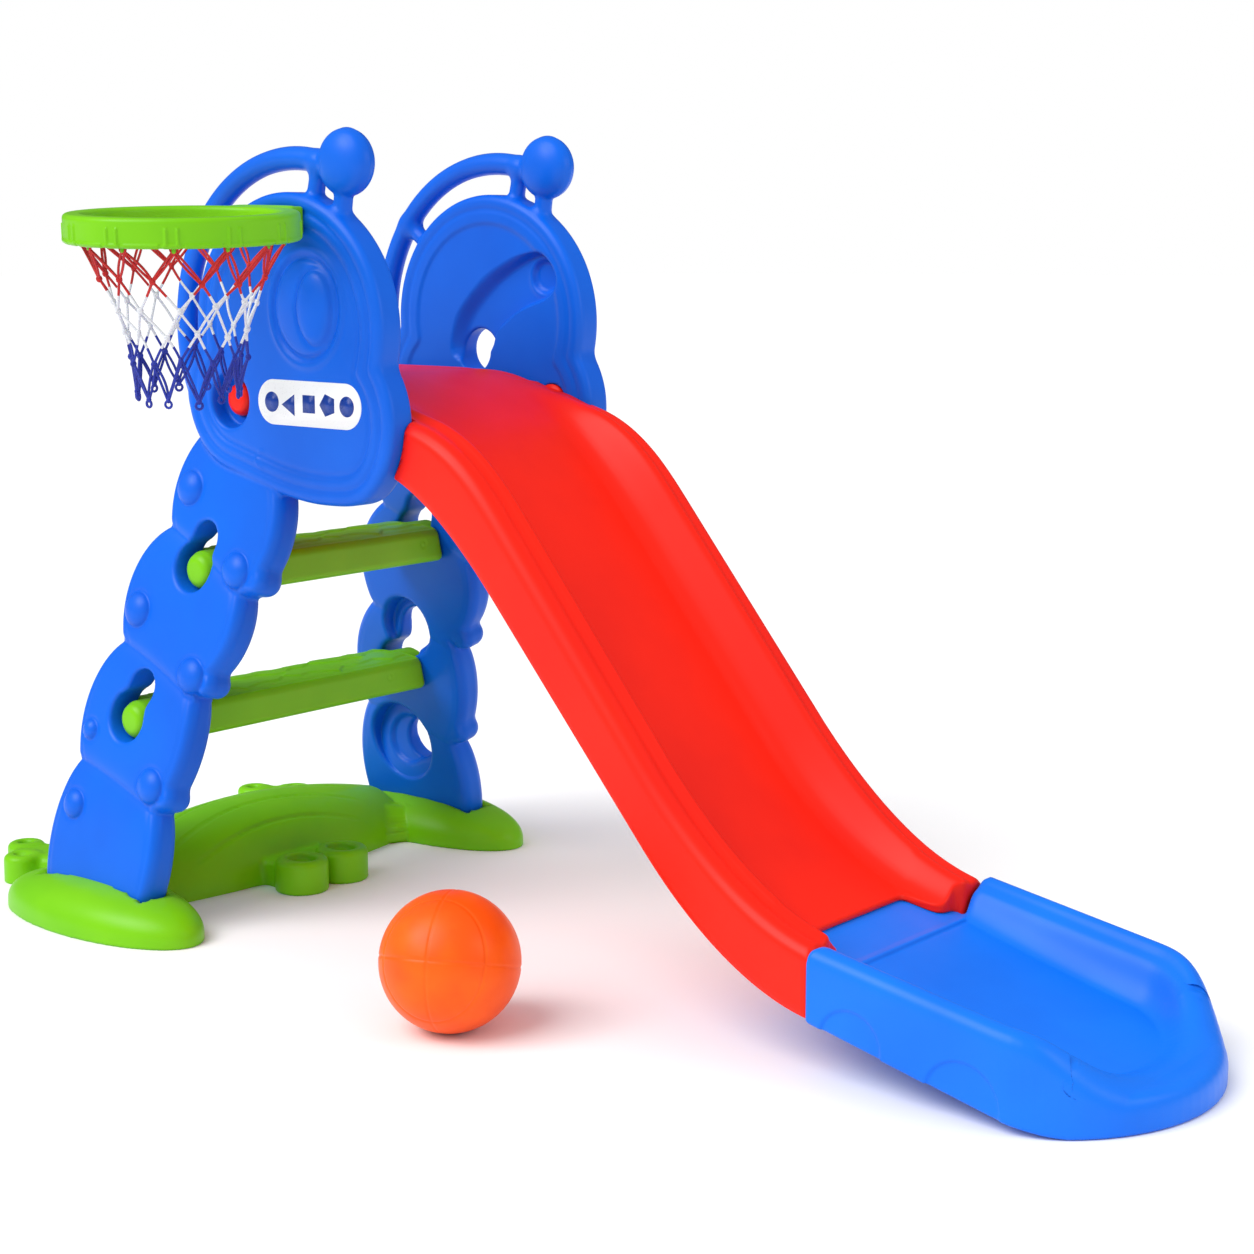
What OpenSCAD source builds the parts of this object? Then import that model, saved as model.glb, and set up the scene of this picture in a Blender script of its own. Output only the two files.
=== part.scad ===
// Toddler slide set: two side panels shaped as segmented creatures, two steps, a base,
// a chute with its exit extension, a small basketball hoop with a net, and a ball.
// Frame: +X from the ladder towards the exit, +Y to the left side, +Z up.
// The origin is on the floor, midway between the panels, under the ladder.

/* [Overall] */
// Clear width between the two heads
head_gap = 333; // [300:1:420]
// Length added to the straight part of the chute, measured along X
chute_extra = 0; // [0:1:300]
// Thickness of a side panel
panel_t = 42; // [34:1:52]
// Outward lean of each leg, in degrees
leg_splay = 13.1; // [9:0.1:16]
// Height at which the legs start to lean outward
bend_z = 583; // [560:1:610]

/* [Side panels] */
// Radius of the round head
head_r = 172; // [165:1:178]
// Radius of the front of the jaw
jaw_front_r = 118; // [112:1:121]
// Radius of the back of the jaw
jaw_rear_r = 104; // [98:1:110]
// Radius of the handle arch, to the middle of its bar
handle_r = 214; // [206:1:224]
// Radius of the handle bar
handle_bar_r = 14.5; // [11:0.5:17]
// Radius of the antenna knob
knob_r = 42; // [34:1:46]
// Thickness of the antenna knob
knob_t = 48; // [40:1:60]
// Radius of the domed bumps on the legs
bump_r = 22; // [16:1:26]
// Height of the bumps above the leg face
bump_h = 8; // [5:1:12]

/* [Steps] */
// Depth of a step, front to back
step_d = 110; // [90:1:130]
// Height of a step
step_h = 54; // [44:1:60]
// Radius of the step pegs
step_peg_r = 26; // [21:0.5:29]
// Radius of the rounded peg ends
step_peg_end_r = 24.5; // [14:0.5:25]
// Radius of the round seat of each keyhole
keyhole_r = 34; // [31:0.5:37]

/* [Base] */
// Length of a foot pad, along X
pad_len = 374; // [340:1:400]
// Width of a foot pad, along Y
pad_w = 158; // [150:1:180]
// Height of a foot pad
pad_h = 62; // [56:1:75]
// Height of the domed body between the pads
dome_h = 103; // [85:1:118]
// Radius of the front toes
toe_r = 38; // [30:1:40]

/* [Chute] */
// Full width of the chute outside the heads
chute_w = 374; // [366:1:440]
// Width of one side rail
rail_w = 46; // [36:1:56]
// Thickness of the sliding floor
floor_t = 22; // [18:1:28]
// Radius of the pegs that hold the chute in the panels
chute_peg_r = 22; // [17:0.5:24]
// Full width of the exit extension
exit_w = 392; // [376:1:440]

/* [Hoop and ball] */
// Outer radius of the hoop
hoop_r = 144.5; // [135:0.5:160]
// Height of the hoop ring
hoop_h = 36; // [30:1:42]
// Length of the net
net_len = 196; // [150:1:220]
// Radius of the net at its lower end
net_end_r = 62; // [50:1:80]
// Radius of the ball
ball_r = 84; // [70:1:92]

/* [Hidden] */
$fn = 96;

// Running and seating clearances
seat_gap = 0.3;
slide_gap = 0.5;

// Places along X and Z of the panel's features
panel_y = (head_gap + panel_t) / 2;
head_c = [281, 806];
jaw_front_c = [352, 692];
jaw_rear_c = [190, 720];
handle_c = [283, 806];
handle_from = 61;
handle_to = 207;
strut_angles = [77, 142];
strut_r = 11;
knob_angle = 65.5;
knob_reach = 229;
knob_c = handle_c + knob_reach * [cos(knob_angle), sin(knob_angle)];
stem_r = 13;
stem_lean = 8;

// Leg segments, top to bottom. Each row holds the rear edge
// and the height of its widest place, then the same for the front edge, then the
// two edge radii. Heights run along the leg from the bend, downward negative.
SEGMENTS = [[50, -16, 267, -32, 131, 127],
            [-18, -167, 217, -152, 134, 121],
            [-71, -336, 157, -308, 157, 200],
            [-102, -506, 123, -498, 219, 219]];
// Small round lobes under the front edge: x, height along the leg, radius
KNUCKLES = [[233, -108, 20], [166, -252, 19], [121, -412, 18]];
// Domed bumps on the outer face: x, height along the leg, share of the full radius
BUMPS = [[91, 2, 1], [203, -99, 1], [20, -170, 1], [146, -245, 1],
         [-41, -342, 0.6], [98, -400, 1], [-52, -447, 0.85]];

// Keyholes: seat x, seat z, upper lobe x, upper lobe z, upper lobe radius
UPPER_KEYHOLE = [116, 489, 134, 527, 23];
LOWER_KEYHOLE = [29, 281, 51, 322, 24];

// Holes for the chute pegs
peg_hole_c = [172, 711];
peg_recess_r = 36;
peg_recess_depth = 25;
front_peg_c = [402, 700];
front_recess_depth = 16;
// Extra hole and dish low on the left panel
dish_c = [3, 150];
dish_r = 60;
dish_depth = 22;
dish_hole_c = [28, 155];
dish_hole_r = 33;
// Recess round the upper lobe of the left panel's lower keyhole, and its wider hole
lobe_recess_c = [60, 341];
lobe_recess_r = 45;
lobe_recess_depth = 20;
lobe_hole_c = [62, 337];
lobe_hole_r = 32;
// Comma-shaped recess on the left panel
comma_depth = 16;
COMMA = [[222, 760], [232, 808], [280, 856], [332, 882], [374, 888],
         [396, 868], [388, 850], [334, 830], [292, 800], [274, 768]];
comma_hole_c = [256, 763];
comma_hole_r = 30;

// Foot and pad
foot_z = 12;
pad_x = 10;
pad_rim = 12;
dome_x = -58;
dome_end_drop = 33;
toe_h = 47;
front_toe = [105, 39];
rear_toes = [[-240, 265], [-290, 222]];
rear_toe_r = 30;
rear_toe_h = 41;
flipper_h = 38;
flipper_root = [-120, 165];
flipper_root_r = 58;
flipper_tip = [-252, 232];
flipper_tip_r = 38;

// Screws
screw_r = 3;
screw_head_r = 8;
screw_head_h = 4;
washer_r = 9;
washer_t = 1.5;
screw_clear = 0.25;
foot_screw_x = [-45, 65];
foot_screw_len = 40;
extension_screw_len = 26;
pilot_len = 48;

function leg_mid_y(z) = panel_y + tan(leg_splay) * (bend_z - z);
function leg_inner_y(z) = leg_mid_y(z) - panel_t / 2 / cos(leg_splay);
function leg_outer_y(z) = leg_mid_y(z) + panel_t / 2 / cos(leg_splay);

// A cubic curve through two end points with two handles
function bez(p, n = 10) = [for (i = [0:n]) let (t = i / n, u = 1 - t)
    u * u * u * p[0] + 3 * u * u * t * p[1] + 3 * u * t * t * p[2] + t * t * t * p[3]];
function drop(pts, d) = [for (p = pts) [p[0], p[1] - d]];
function back(pts) = [for (i = [len(pts) - 1:-1:0]) pts[i]];
// The part of a line of points that lies past x0
function past(pts, x0) = [for (p = pts) if (p[0] > x0) p];
function upto(pts, x0) = [for (p = pts) if (p[0] < x0) p];
// Height of a line of points at x
function at(pts, x, i = 0) = pts[i + 1][0] >= x || i == len(pts) - 2
    ? pts[i][1] + (pts[i + 1][1] - pts[i][1]) * (x - pts[i][0]) / (pts[i + 1][0] - pts[i][0])
    : at(pts, x, i + 1);
function stretch(pts) = [for (p = pts) [p[0] + chute_extra, p[1]]];

// Chute side view. The slope keeps its angle, so extra length raises nothing:
// it lengthens the run between the lower bend and the joint.
joint_x = 1087 + chute_extra;
lap_x = 1030 + chute_extra;
tongue_x = 935 + chute_extra;
extension_bolt_x = 968 + chute_extra;
extension_bolt_y = [-110, -40, 40, 110];
platform_back = 100;
platform_z = 741;
floor_top = concat([[platform_back, platform_z]],
    bez([[300, platform_z], [420, 738], [520, 646], [602, 548]]),
    stretch(bez([[822, 286], [890, 205], [985, 140], [1087, 121]])));
crest = concat([[platform_back, platform_z]],
    bez([[240, 742], [330, 742], [420, 715], [490, 697]], 6),
    past(bez([[490, 697], [560, 676], [600, 628], [640, 580]], 6), 491),
    stretch(bez([[860, 316], [930, 235], [1010, 170], [1087, 154]])));
belly = concat([[430, 632]],
    bez([[457, 624], [510, 605], [560, 552], [600, 506]], 6),
    stretch(bez([[848, 221], [915, 144], [1000, 80], [1087, 66]])));
platform_drop = 46;
// The deep part of the floor ends at deep_x, and it has its full width from wide_x on
deep_x = 560;
wide_x = 470;
lap_t = 8;
lap_back = 28;
tongue_t = 20;
tab_x = joint_x - 14;

// Extension side view
exit_x = 1478 + chute_extra;
exit_lip_z = 42;
ext_crest = stretch(concat([[1087, 154]],
    [[1340, 112]], past(bez([[1340, 112], [1395, 103], [1400, 62], [1440, 43]], 8), 1341)));
ext_belly = stretch([[1087, 66], [1380, 3], [1400, 0]]);
ext_floor_end = 1400 + chute_extra;
ext_floor_end_z = 38;
ext_nose_x = 80;

// Hoop place
hoop_c = [267, -(panel_y + panel_t / 2 + hoop_r + 4), 942];
hoop_lean = 2.7;
hoop_turn = 2.2;
hoop_wall = 6;
hoop_rim_w = 26;
hoop_hooks = 12;
bracket_w = 112;
bracket_t = 20;
hoop_bolt_pitch = 70;
nut_r = 6;
nut_t = 5;
net_top_r = hoop_r - hoop_rim_w - 2;
net_t = 2;

label_c = [324, 713];
label_w = 190;
label_h = 58;
label_t = 0.4;
ball_c = [675, -328];

module side_view(t) {
    rotate([90, 0, 0])
        linear_extrude(t, center = true)
            children();
}

// A round bar or bore along Y, at a place in the side view, from y0 to y1
module along_y(c, r, y0, y1) {
    translate([c[0], y0, c[1]])
        rotate([-90, 0, 0])
            cylinder(r = r, h = y1 - y0);
}

module disc_2d(c, r) {
    translate(c)
        circle(r);
}

// The lens that two edge arcs enclose, widened by grow on every side
module segment_2d(s, grow = 0) {
    intersection() {
        disc_2d([s[0] + s[4], s[1]], s[4] + grow);
        disc_2d([s[2] - s[5], s[3]], s[5] + grow);
    }
}

module leg_2d(grow = 0) {
    for (s = SEGMENTS) segment_2d(s, grow);
    for (k = KNUCKLES) disc_2d([k[0], k[1]], k[2] + grow);
}

// Puts something drawn in the leg's own plane where the left leg stands
module in_leg_plane() {
    translate([0, panel_y, bend_z])
        rotate([leg_splay, 0, 0])
            children();
}

module leg_plate(grow = 0) {
    overlap = 6;
    in_leg_plane()
        side_view(panel_t + 2 * grow)
            intersection() {
                leg_2d(grow);
                translate([-200, -640])
                    square([600, 640 + overlap]);
            }
}

module neck_plate() {
    overlap = 6;
    translate([0, panel_y, bend_z])
        side_view(panel_t)
            intersection() {
                segment_2d(SEGMENTS[0]);
                translate([-200, -overlap])
                    square([600, 200]);
            }
}

module head_plate() {
    translate([0, panel_y, 0])
        side_view(panel_t)
            union() {
                disc_2d(head_c, head_r);
                hull() {
                    disc_2d(jaw_front_c, jaw_front_r);
                    disc_2d(jaw_rear_c, jaw_rear_r);
                }
            }
}

module handle() {
    translate([handle_c[0], panel_y, handle_c[1]])
        rotate([90, 0, 0])
            rotate([0, 0, handle_from])
                rotate_extrude(angle = handle_to - handle_from)
                    translate([handle_r, 0])
                        circle(handle_bar_r);
    strut_from = 155;
    for (a = strut_angles)
        translate([handle_c[0], panel_y, handle_c[1]])
            rotate([0, 90 - a, 0])
                translate([0, 0, strut_from])
                    cylinder(r = strut_r, h = handle_r - strut_from);
}

module knob() {
    stem_len = 90;
    translate([knob_c[0], panel_y, knob_c[1]]) {
        intersection() {
            sphere(knob_r);
            cube([3 * knob_r, knob_t, 3 * knob_r], center = true);
        }
        rotate([0, 180 + stem_lean, 0])
            cylinder(r = stem_r, h = stem_len);
    }
}

module bumps() {
    for (b = BUMPS) {
        r = bump_r * b[2];
        dome_r = (r * r + bump_h * bump_h) / (2 * bump_h);
        in_leg_plane()
            translate([b[0], panel_t / 2 + bump_h - dome_r, b[1]])
                intersection() {
                    sphere(dome_r);
                    translate([0, dome_r, 0])
                        cube([3 * r, 4 * bump_h, 3 * r], center = true);
                }
    }
}

module keyhole(k) {
    along_y([k[0], k[1]], keyhole_r, panel_y - 60, panel_y + 200);
    along_y([k[2], k[3]], k[4], panel_y - 60, panel_y + 200);
}

module chute_holes() {
    inner = head_gap / 2;
    along_y(peg_hole_c, chute_peg_r + slide_gap, inner - 1, inner + panel_t + 1);
    along_y(peg_hole_c, peg_recess_r, inner + panel_t - peg_recess_depth, inner + panel_t + 1);
    along_y(front_peg_c, chute_peg_r + slide_gap, inner - 1, inner + front_recess_depth);
}

module foot_trim() {
    translate([-300, 0, -100])
        cube([600, 500, 100 + foot_z + seat_gap]);
}

// The screws that hold a foot in its pad, on the left side
module foot_screw_places() {
    for (x = foot_screw_x)
        translate([x, leg_mid_y(foot_z) - 3, 0])
            children();
}

module foot_pilots() {
    foot_screw_places()
        cylinder(r = screw_r + screw_clear, h = pilot_len);
}

module panel_body() {
    difference() {
        union() {
            head_plate();
            neck_plate();
            leg_plate();
            handle();
            knob();
            bumps();
        }
        keyhole(UPPER_KEYHOLE);
        keyhole(LOWER_KEYHOLE);
        chute_holes();
        foot_trim();
        foot_pilots();
    }
}

// The dish and the two holes that only the left panel has
module left_panel_cuts() {
    dish_floor_y = leg_inner_y(dish_c[1]) + dish_depth;
    along_y(dish_c, dish_r, dish_floor_y - 80, dish_floor_y);
    along_y(dish_hole_c, dish_hole_r, dish_floor_y - 10, dish_floor_y + 60);
    lobe_floor_y = leg_inner_y(lobe_recess_c[1]) + lobe_recess_depth;
    along_y(lobe_recess_c, lobe_recess_r, lobe_floor_y - 80, lobe_floor_y);
    along_y(lobe_hole_c, lobe_hole_r, lobe_floor_y - 10, lobe_floor_y + 60);
    along_y(comma_hole_c, comma_hole_r, head_gap / 2 - 1, head_gap / 2 + panel_t + 1);
    translate([0, head_gap / 2 + comma_depth / 2 - 1, 0])
        side_view(comma_depth + 2)
            offset(r = 14)
                polygon(COMMA);
}

module left_side_panel() {
    color("#0a6ce8")
        difference() {
            panel_body();
            left_panel_cuts();
        }
}

module hoop_bolt_places() {
    for (s = [-1, 1])
        translate([hoop_c[0] + s * hoop_bolt_pitch / 2, 0, hoop_c[2]])
            rotate([90, 0, 0])
                children();
}

module right_side_panel() {
    color("#0a6ce8")
        difference() {
            mirror([0, 1, 0])
                panel_body();
            hoop_bolt_places()
                cylinder(r = screw_r + screw_clear, h = panel_y + panel_t);
        }
}

// A step seen from the front: its ends follow the lean of the legs
module step_front(z0, z1) {
    rotate([90, 0, 90])
        linear_extrude(600, center = true)
            polygon([[-leg_inner_y(z0) + seat_gap, z0], [leg_inner_y(z0) - seat_gap, z0],
                     [leg_inner_y(z1) - seat_gap, z1], [-leg_inner_y(z1) + seat_gap, z1]]);
}

// A quarter-round end for a turned peg: from the rim in to the middle of the tip
function peg_nose(r, tip, nose) = [for (a = [0:15:90]) [r - nose + nose * cos(a), tip - nose + nose * sin(a)]];

// A stout shaft that rests in the keyhole, and a slimmer end with a rounded nose
module step_peg(c) {
    root_y = leg_inner_y(c[1]) - 30;
    shaft_len = leg_mid_y(c[1]) + 4 - root_y;
    peg_len = leg_outer_y(c[1]) - 5 - root_y;
    nose = 10;
    translate([c[0], root_y, c[1]])
        rotate([-90, 0, 0])
            rotate_extrude()
                polygon(concat([[0, 0], [step_peg_r, 0], [step_peg_r, shaft_len],
                                [step_peg_end_r, shaft_len]],
                               peg_nose(step_peg_end_r, peg_len, nose), [[0, peg_len]]));
}

module step_at(k) {
    corner = 8;
    peg_c = [k[0], k[1] - keyhole_r + step_peg_r + seat_gap];
    z0 = peg_c[1] - step_h / 2;
    z1 = peg_c[1] + step_h / 2;
    intersection() {
        step_front(z0 - 1, z1 + 1);
        translate([peg_c[0], 0, peg_c[1]])
            side_view(800)
                offset(r = corner)
                    square([step_d - 2 * corner, step_h - 2 * corner], center = true);
    }
    step_peg(peg_c);
    mirror([0, 1, 0])
        step_peg(peg_c);
}

module lower_step() {
    color("#6cc818")
        step_at(LOWER_KEYHOLE);
}

module upper_step() {
    color("#6cc818")
        step_at(UPPER_KEYHOLE);
}

// A low dome on an oval plan: two crossed cylinders cut to the oval
module foot_pad() {
    pad_y = leg_mid_y(pad_h / 2);
    rise = pad_h - pad_rim;
    half_l = pad_len / 2;
    half_w = pad_w / 2;
    round_x = (half_l * half_l + rise * rise) / (2 * rise);
    round_y = (half_w * half_w + rise * rise) / (2 * rise);
    translate([pad_x, pad_y, 0])
        intersection() {
            linear_extrude(pad_h)
                polygon([for (a = [0:7.5:352.5]) [half_l * cos(a), half_w * sin(a)]]);
            translate([0, 0, pad_h - round_x])
                rotate([90, 0, 0])
                    cylinder(r = round_x, h = pad_w + 10, center = true, $fn = 256);
            translate([0, 0, pad_h - round_y])
                rotate([0, 90, 0])
                    cylinder(r = round_y, h = pad_len + 10, center = true);
        }
}

module dome_body() {
    inside_pad = 58;
    half_len = leg_mid_y(pad_h / 2) - inside_pad;
    end_r = (half_len * half_len + dome_end_drop * dome_end_drop) / (2 * dome_end_drop);
    dome_r = 107;
    intersection() {
        translate([dome_x, 0, dome_h - dome_r])
            rotate([90, 0, 0])
                cylinder(r = dome_r, h = 2 * half_len, center = true);
        translate([dome_x, 0, dome_h - end_r])
            rotate([0, 90, 0])
                cylinder(r = end_r, h = 400, center = true, $fn = 256);
        translate([-300, -400, 0])
            cube([500, 800, 200]);
    }
}

module toe(c, r, h) {
    dish_r = r * 0.62;
    translate([c[0], c[1], 0])
        difference() {
            cylinder(r = r, h = h);
            translate([0, 0, h + dish_r * 0.45])
                sphere(dish_r);
        }
}

module base_half() {
    foot_pad();
    toe(front_toe, toe_r, toe_h);
    translate([0, 8, 0])
        cube([front_toe[0], 2 * (front_toe[1] - 8), toe_h - 12]);
    for (p = rear_toes) toe(p, rear_toe_r, rear_toe_h);
    linear_extrude(flipper_h)
        hull() {
            disc_2d(flipper_root, flipper_root_r);
            disc_2d(flipper_tip, flipper_tip_r);
        }
}

module ladder_base() {
    color("#6cc818")
        difference() {
            union() {
                dome_body();
                base_half();
                mirror([0, 1, 0]) base_half();
            }
            for (m = [0, 1]) mirror([0, m, 0]) {
                difference() {
                    leg_plate(slide_gap);
                    translate([-300, 0, -100])
                        cube([600, 500, 100 + foot_z]);
                }
                foot_screw_places() {
                    translate([0, 0, -1])
                        cylinder(r = screw_r + screw_clear, h = 30);
                    translate([0, 0, -1])
                        cylinder(r = washer_r + 1, h = 1 + screw_head_h + washer_t + 1);
                }
            }
        }
}

module floor_band(top, t0, t1) {
    polygon(concat(drop(top, t0), back(drop(top, t1))));
}

module chute_floor() {
    width = head_gap - 2 * slide_gap;
    side_view(width)
        polygon(concat(upto(floor_top, deep_x), [[deep_x, at(floor_top, deep_x)], [deep_x, at(belly, deep_x)]],
                       back(upto(belly, deep_x)), [[platform_back, platform_z - platform_drop]]));
    side_view(chute_w - rail_w)
        intersection() {
            floor_band(floor_top, 0, floor_t);
            translate([wide_x, 0])
                square([lap_x - wide_x, 900]);
        }
}

module chute_rails() {
    head_clear = 1.5;
    for (s = [-1, 1])
        translate([0, s * (chute_w / 2 - rail_w / 2), 0])
            difference() {
                side_view(rail_w)
                    polygon(concat([[430, at(crest, 430)]], past(crest, 431), back(belly)));
                translate([0, -rail_w, 0])
                    along_y(jaw_front_c, jaw_front_r + head_clear, 0, 2 * rail_w);
            }
}

// Rounded tabs that carry the red floor a little way over the blue one
module chute_tabs() {
    tab_r = 20;
    tab_len = 60;
    tab_y = chute_w / 2 - rail_w - 14;
    for (s = [-1, 1])
        intersection() {
            side_view(chute_w)
                floor_band(floor_top, 0, lap_t);
            translate([tab_x - tab_r, s * tab_y, 0]) {
                cylinder(r = tab_r, h = 300);
                translate([-tab_len, -tab_r, 0])
                    cube([tab_len, 2 * tab_r, 300]);
            }
        }
}

// Rear pegs show in the panels' recesses, front pegs sit in blind holes
module chute_pegs() {
    root_y = head_gap / 2 - 20;
    peg_len = 20 + panel_t - peg_recess_depth + 14;
    nose = 10;
    for (m = [0, 1]) mirror([0, m, 0]) {
        translate([peg_hole_c[0], root_y, peg_hole_c[1]])
            rotate([-90, 0, 0])
                rotate_extrude()
                    polygon(concat([[0, 0], [chute_peg_r, 0]],
                                   peg_nose(chute_peg_r, peg_len, nose), [[0, peg_len]]));
        along_y(front_peg_c, chute_peg_r, root_y, head_gap / 2 + front_recess_depth - 1);
    }
}

module extension_bolt_places() {
    for (y = extension_bolt_y)
        translate([extension_bolt_x, y, 0])
            children();
}

module chute() {
    inner = head_gap / 2;
    color("#ff2010")
        difference() {
            union() {
                difference() {
                    union() {
                        chute_floor();
                        chute_rails();
                        chute_tabs();
                    }
                    // lap over the tongue of the extension
                    side_view(chute_w - 2 * rail_w - 1)
                        intersection() {
                            floor_band(floor_top, lap_t, 90);
                            translate([lap_x - lap_back, 0])
                                square([200, 400]);
                        }
                }
                chute_pegs();
            }
            // blind pilot holes for the screws that join the extension
            extension_bolt_places()
                cylinder(r = screw_r + screw_clear, h = at(floor_top, extension_bolt_x) - lap_t);
        }
}

module exit_plan() {
    half = exit_w / 2;
    corner = 75;
    polygon(concat([[tongue_x - 5, -half]],
        bez([[exit_x - ext_nose_x - corner, -half], [exit_x - ext_nose_x, -half],
             [exit_x, -half * 0.55], [exit_x, 0]], 12),
        back([for (p = bez([[exit_x - ext_nose_x - corner, -half], [exit_x - ext_nose_x, -half],
             [exit_x, -half * 0.55], [exit_x, 0]], 12)) if (p[1] < -1) [p[0], -p[1]]]),
        [[tongue_x - 5, half]]));
}

module extension_rails() {
    for (s = [-1, 1])
        translate([0, s * (exit_w / 2 - rail_w / 2), 0])
            side_view(rail_w)
                polygon(concat(stretch([[1087 + seat_gap, 154]]), past(ext_crest, joint_x + 1),
                               [[exit_x, exit_lip_z], [exit_x, 0]], back(ext_belly)));
}

module extension_floor() {
    nose_in = 40;
    inner_w = exit_w - rail_w;
    // the block that fills the step between the tongue and the floor
    start_x = joint_x - 3;
    block_end_x = joint_x + 8;
    block_t = 38;
    side_view(chute_w - 2 * rail_w - 2)
        polygon([[start_x, at(floor_top, start_x) - lap_t - seat_gap],
                 [block_end_x, at(floor_top, joint_x) - lap_t - 2],
                 [block_end_x, at(floor_top, joint_x) - block_t + 2],
                 [start_x, at(floor_top, start_x) - block_t]]);
    side_view(inner_w)
        polygon([[joint_x + seat_gap, at(floor_top, joint_x) - lap_t - seat_gap],
                 [ext_floor_end, ext_floor_end_z], [exit_x - nose_in, ext_floor_end_z],
                 [exit_x - nose_in / 2, exit_lip_z], [exit_x, exit_lip_z], [exit_x, 0],
                 [ext_floor_end, 0], [joint_x + seat_gap, at(floor_top, joint_x) - block_t - 2]]);
}

// The tongue that lies under the chute and takes the screws
module extension_tongue() {
    tongue_w = chute_w - 2 * rail_w - 2;
    side_view(tongue_w)
        union() {
            intersection() {
                floor_band(floor_top, floor_t + seat_gap, floor_t + tongue_t);
                translate([tongue_x, 0])
                    square([joint_x + 1 - tongue_x, 400]);
            }
            intersection() {
                floor_band(floor_top, lap_t + seat_gap, floor_t + tongue_t);
                translate([lap_x - lap_back + 1, 0])
                    square([joint_x - lap_x + lap_back, 400]);
            }
        }
}

module chute_extension() {
    head_z = at(floor_top, extension_bolt_x) - floor_t - tongue_t;
    color("#1f74f0")
        difference() {
            intersection() {
                union() {
                    extension_rails();
                    extension_floor();
                    extension_tongue();
                }
                linear_extrude(400)
                    exit_plan();
            }
            extension_bolt_places() {
                cylinder(r = screw_r + screw_clear, h = 400);
                cylinder(r = washer_r + 1, h = head_z + 8);
            }
        }
}

module hoop_section() {
    inner = hoop_r - hoop_rim_w;
    chamfer = 4;
    top = hoop_h / 2;
    polygon([[inner, -top + 14], [inner + hoop_wall, -top + 14],
             [inner + hoop_wall, top - hoop_wall], [hoop_r - hoop_wall, top - hoop_wall],
             [hoop_r - hoop_wall, -top], [hoop_r, -top], [hoop_r, top - chamfer],
             [hoop_r - chamfer, top], [inner + chamfer, top], [inner, top - chamfer]]);
}

// Places something drawn round the hoop's own centre
module at_hoop() {
    translate([hoop_c[0], hoop_c[1] + hoop_r, hoop_c[2]])
        rotate([hoop_lean, hoop_turn, 0])
            translate([0, -hoop_r, 0])
                children();
}

module hoop_hooks() {
    hook_r = 2.5;
    hook_len = 22;
    for (i = [0:hoop_hooks - 1])
        rotate([0, 0, (i + 0.5) * 360 / hoop_hooks])
            translate([hoop_r - hoop_rim_w + hoop_wall / 2, 0, -hoop_h / 2 - 6])
                cylinder(r = hook_r, h = hook_len);
}

module hoop_ring() {
    face_y = -(panel_y + panel_t / 2 + seat_gap);
    color("#6cc818")
        difference() {
            union() {
                at_hoop() {
                    rotate_extrude()
                        hoop_section();
                    hoop_hooks();
                }
                translate([hoop_c[0] - bracket_w / 2, face_y - bracket_t, hoop_c[2] - hoop_h / 2])
                    cube([bracket_w, bracket_t, hoop_h]);
            }
            at_hoop()
                cylinder(r = hoop_r - hoop_rim_w, h = 2 * hoop_h, center = true);
            hoop_bolt_places() {
                cylinder(r = screw_r + screw_clear, h = -face_y + bracket_t - 4);
                translate([0, 0, -face_y + 4])
                    cylinder(r = nut_r + 0.2, h = nut_t + 0.4, $fn = 6);
            }
        }
}

module hoop_net() {
    top = -hoop_h / 2 - 1;
    color("#e8e8f0")
        at_hoop()
            rotate_extrude()
                polygon([[net_top_r, top], [net_top_r + net_t, top],
                         [net_end_r + 14 + net_t, top - net_len * 0.72],
                         [net_end_r + net_t, top - net_len], [net_end_r, top - net_len],
                         [net_end_r + 14, top - net_len * 0.72]]);
}

module hoop_screws() {
    inner = head_gap / 2;
    color("#b8bcc0")
        hoop_bolt_places() {
            translate([0, 0, inner - washer_t - screw_head_h])
                cylinder(r = screw_head_r, h = screw_head_h);
            translate([0, 0, inner - washer_t - 1])
                cylinder(r = screw_r, h = panel_t + bracket_t - 5);
        }
}

module hoop_washers() {
    color("#c8ccd0")
        hoop_bolt_places()
            translate([0, 0, head_gap / 2 - washer_t])
                difference() {
                    cylinder(r = washer_r, h = washer_t);
                    translate([0, 0, -1])
                        cylinder(r = screw_r + 0.1, h = washer_t + 2);
                }
}

module hoop_nuts() {
    color("#a8acb0")
        hoop_bolt_places()
            translate([0, 0, panel_y + panel_t / 2 + seat_gap + 4.2])
                difference() {
                    cylinder(r = nut_r, h = nut_t, $fn = 6);
                    translate([0, 0, -1])
                        cylinder(r = screw_r + 0.1, h = nut_t + 2);
                }
}

// A screw that stands head down, with its washer seat at z = 0
module screw_up(len) {
    translate([0, 0, -washer_t - screw_head_h])
        cylinder(r = screw_head_r, h = screw_head_h);
    translate([0, 0, -washer_t - 1])
        cylinder(r = screw_r, h = len);
}

module washer_up() {
    translate([0, 0, -washer_t])
        difference() {
            cylinder(r = washer_r, h = washer_t);
            translate([0, 0, -1])
                cylinder(r = screw_r + 0.1, h = washer_t + 2);
        }
}

base_seat_z = screw_head_h + washer_t + 1;
module base_screws() {
    color("#b8bcc0")
        for (m = [0, 1]) mirror([0, m, 0])
            foot_screw_places()
                translate([0, 0, base_seat_z])
                    screw_up(foot_screw_len);
}

module base_washers() {
    color("#c8ccd0")
        for (m = [0, 1]) mirror([0, m, 0])
            foot_screw_places()
                translate([0, 0, base_seat_z])
                    washer_up();
}

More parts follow.
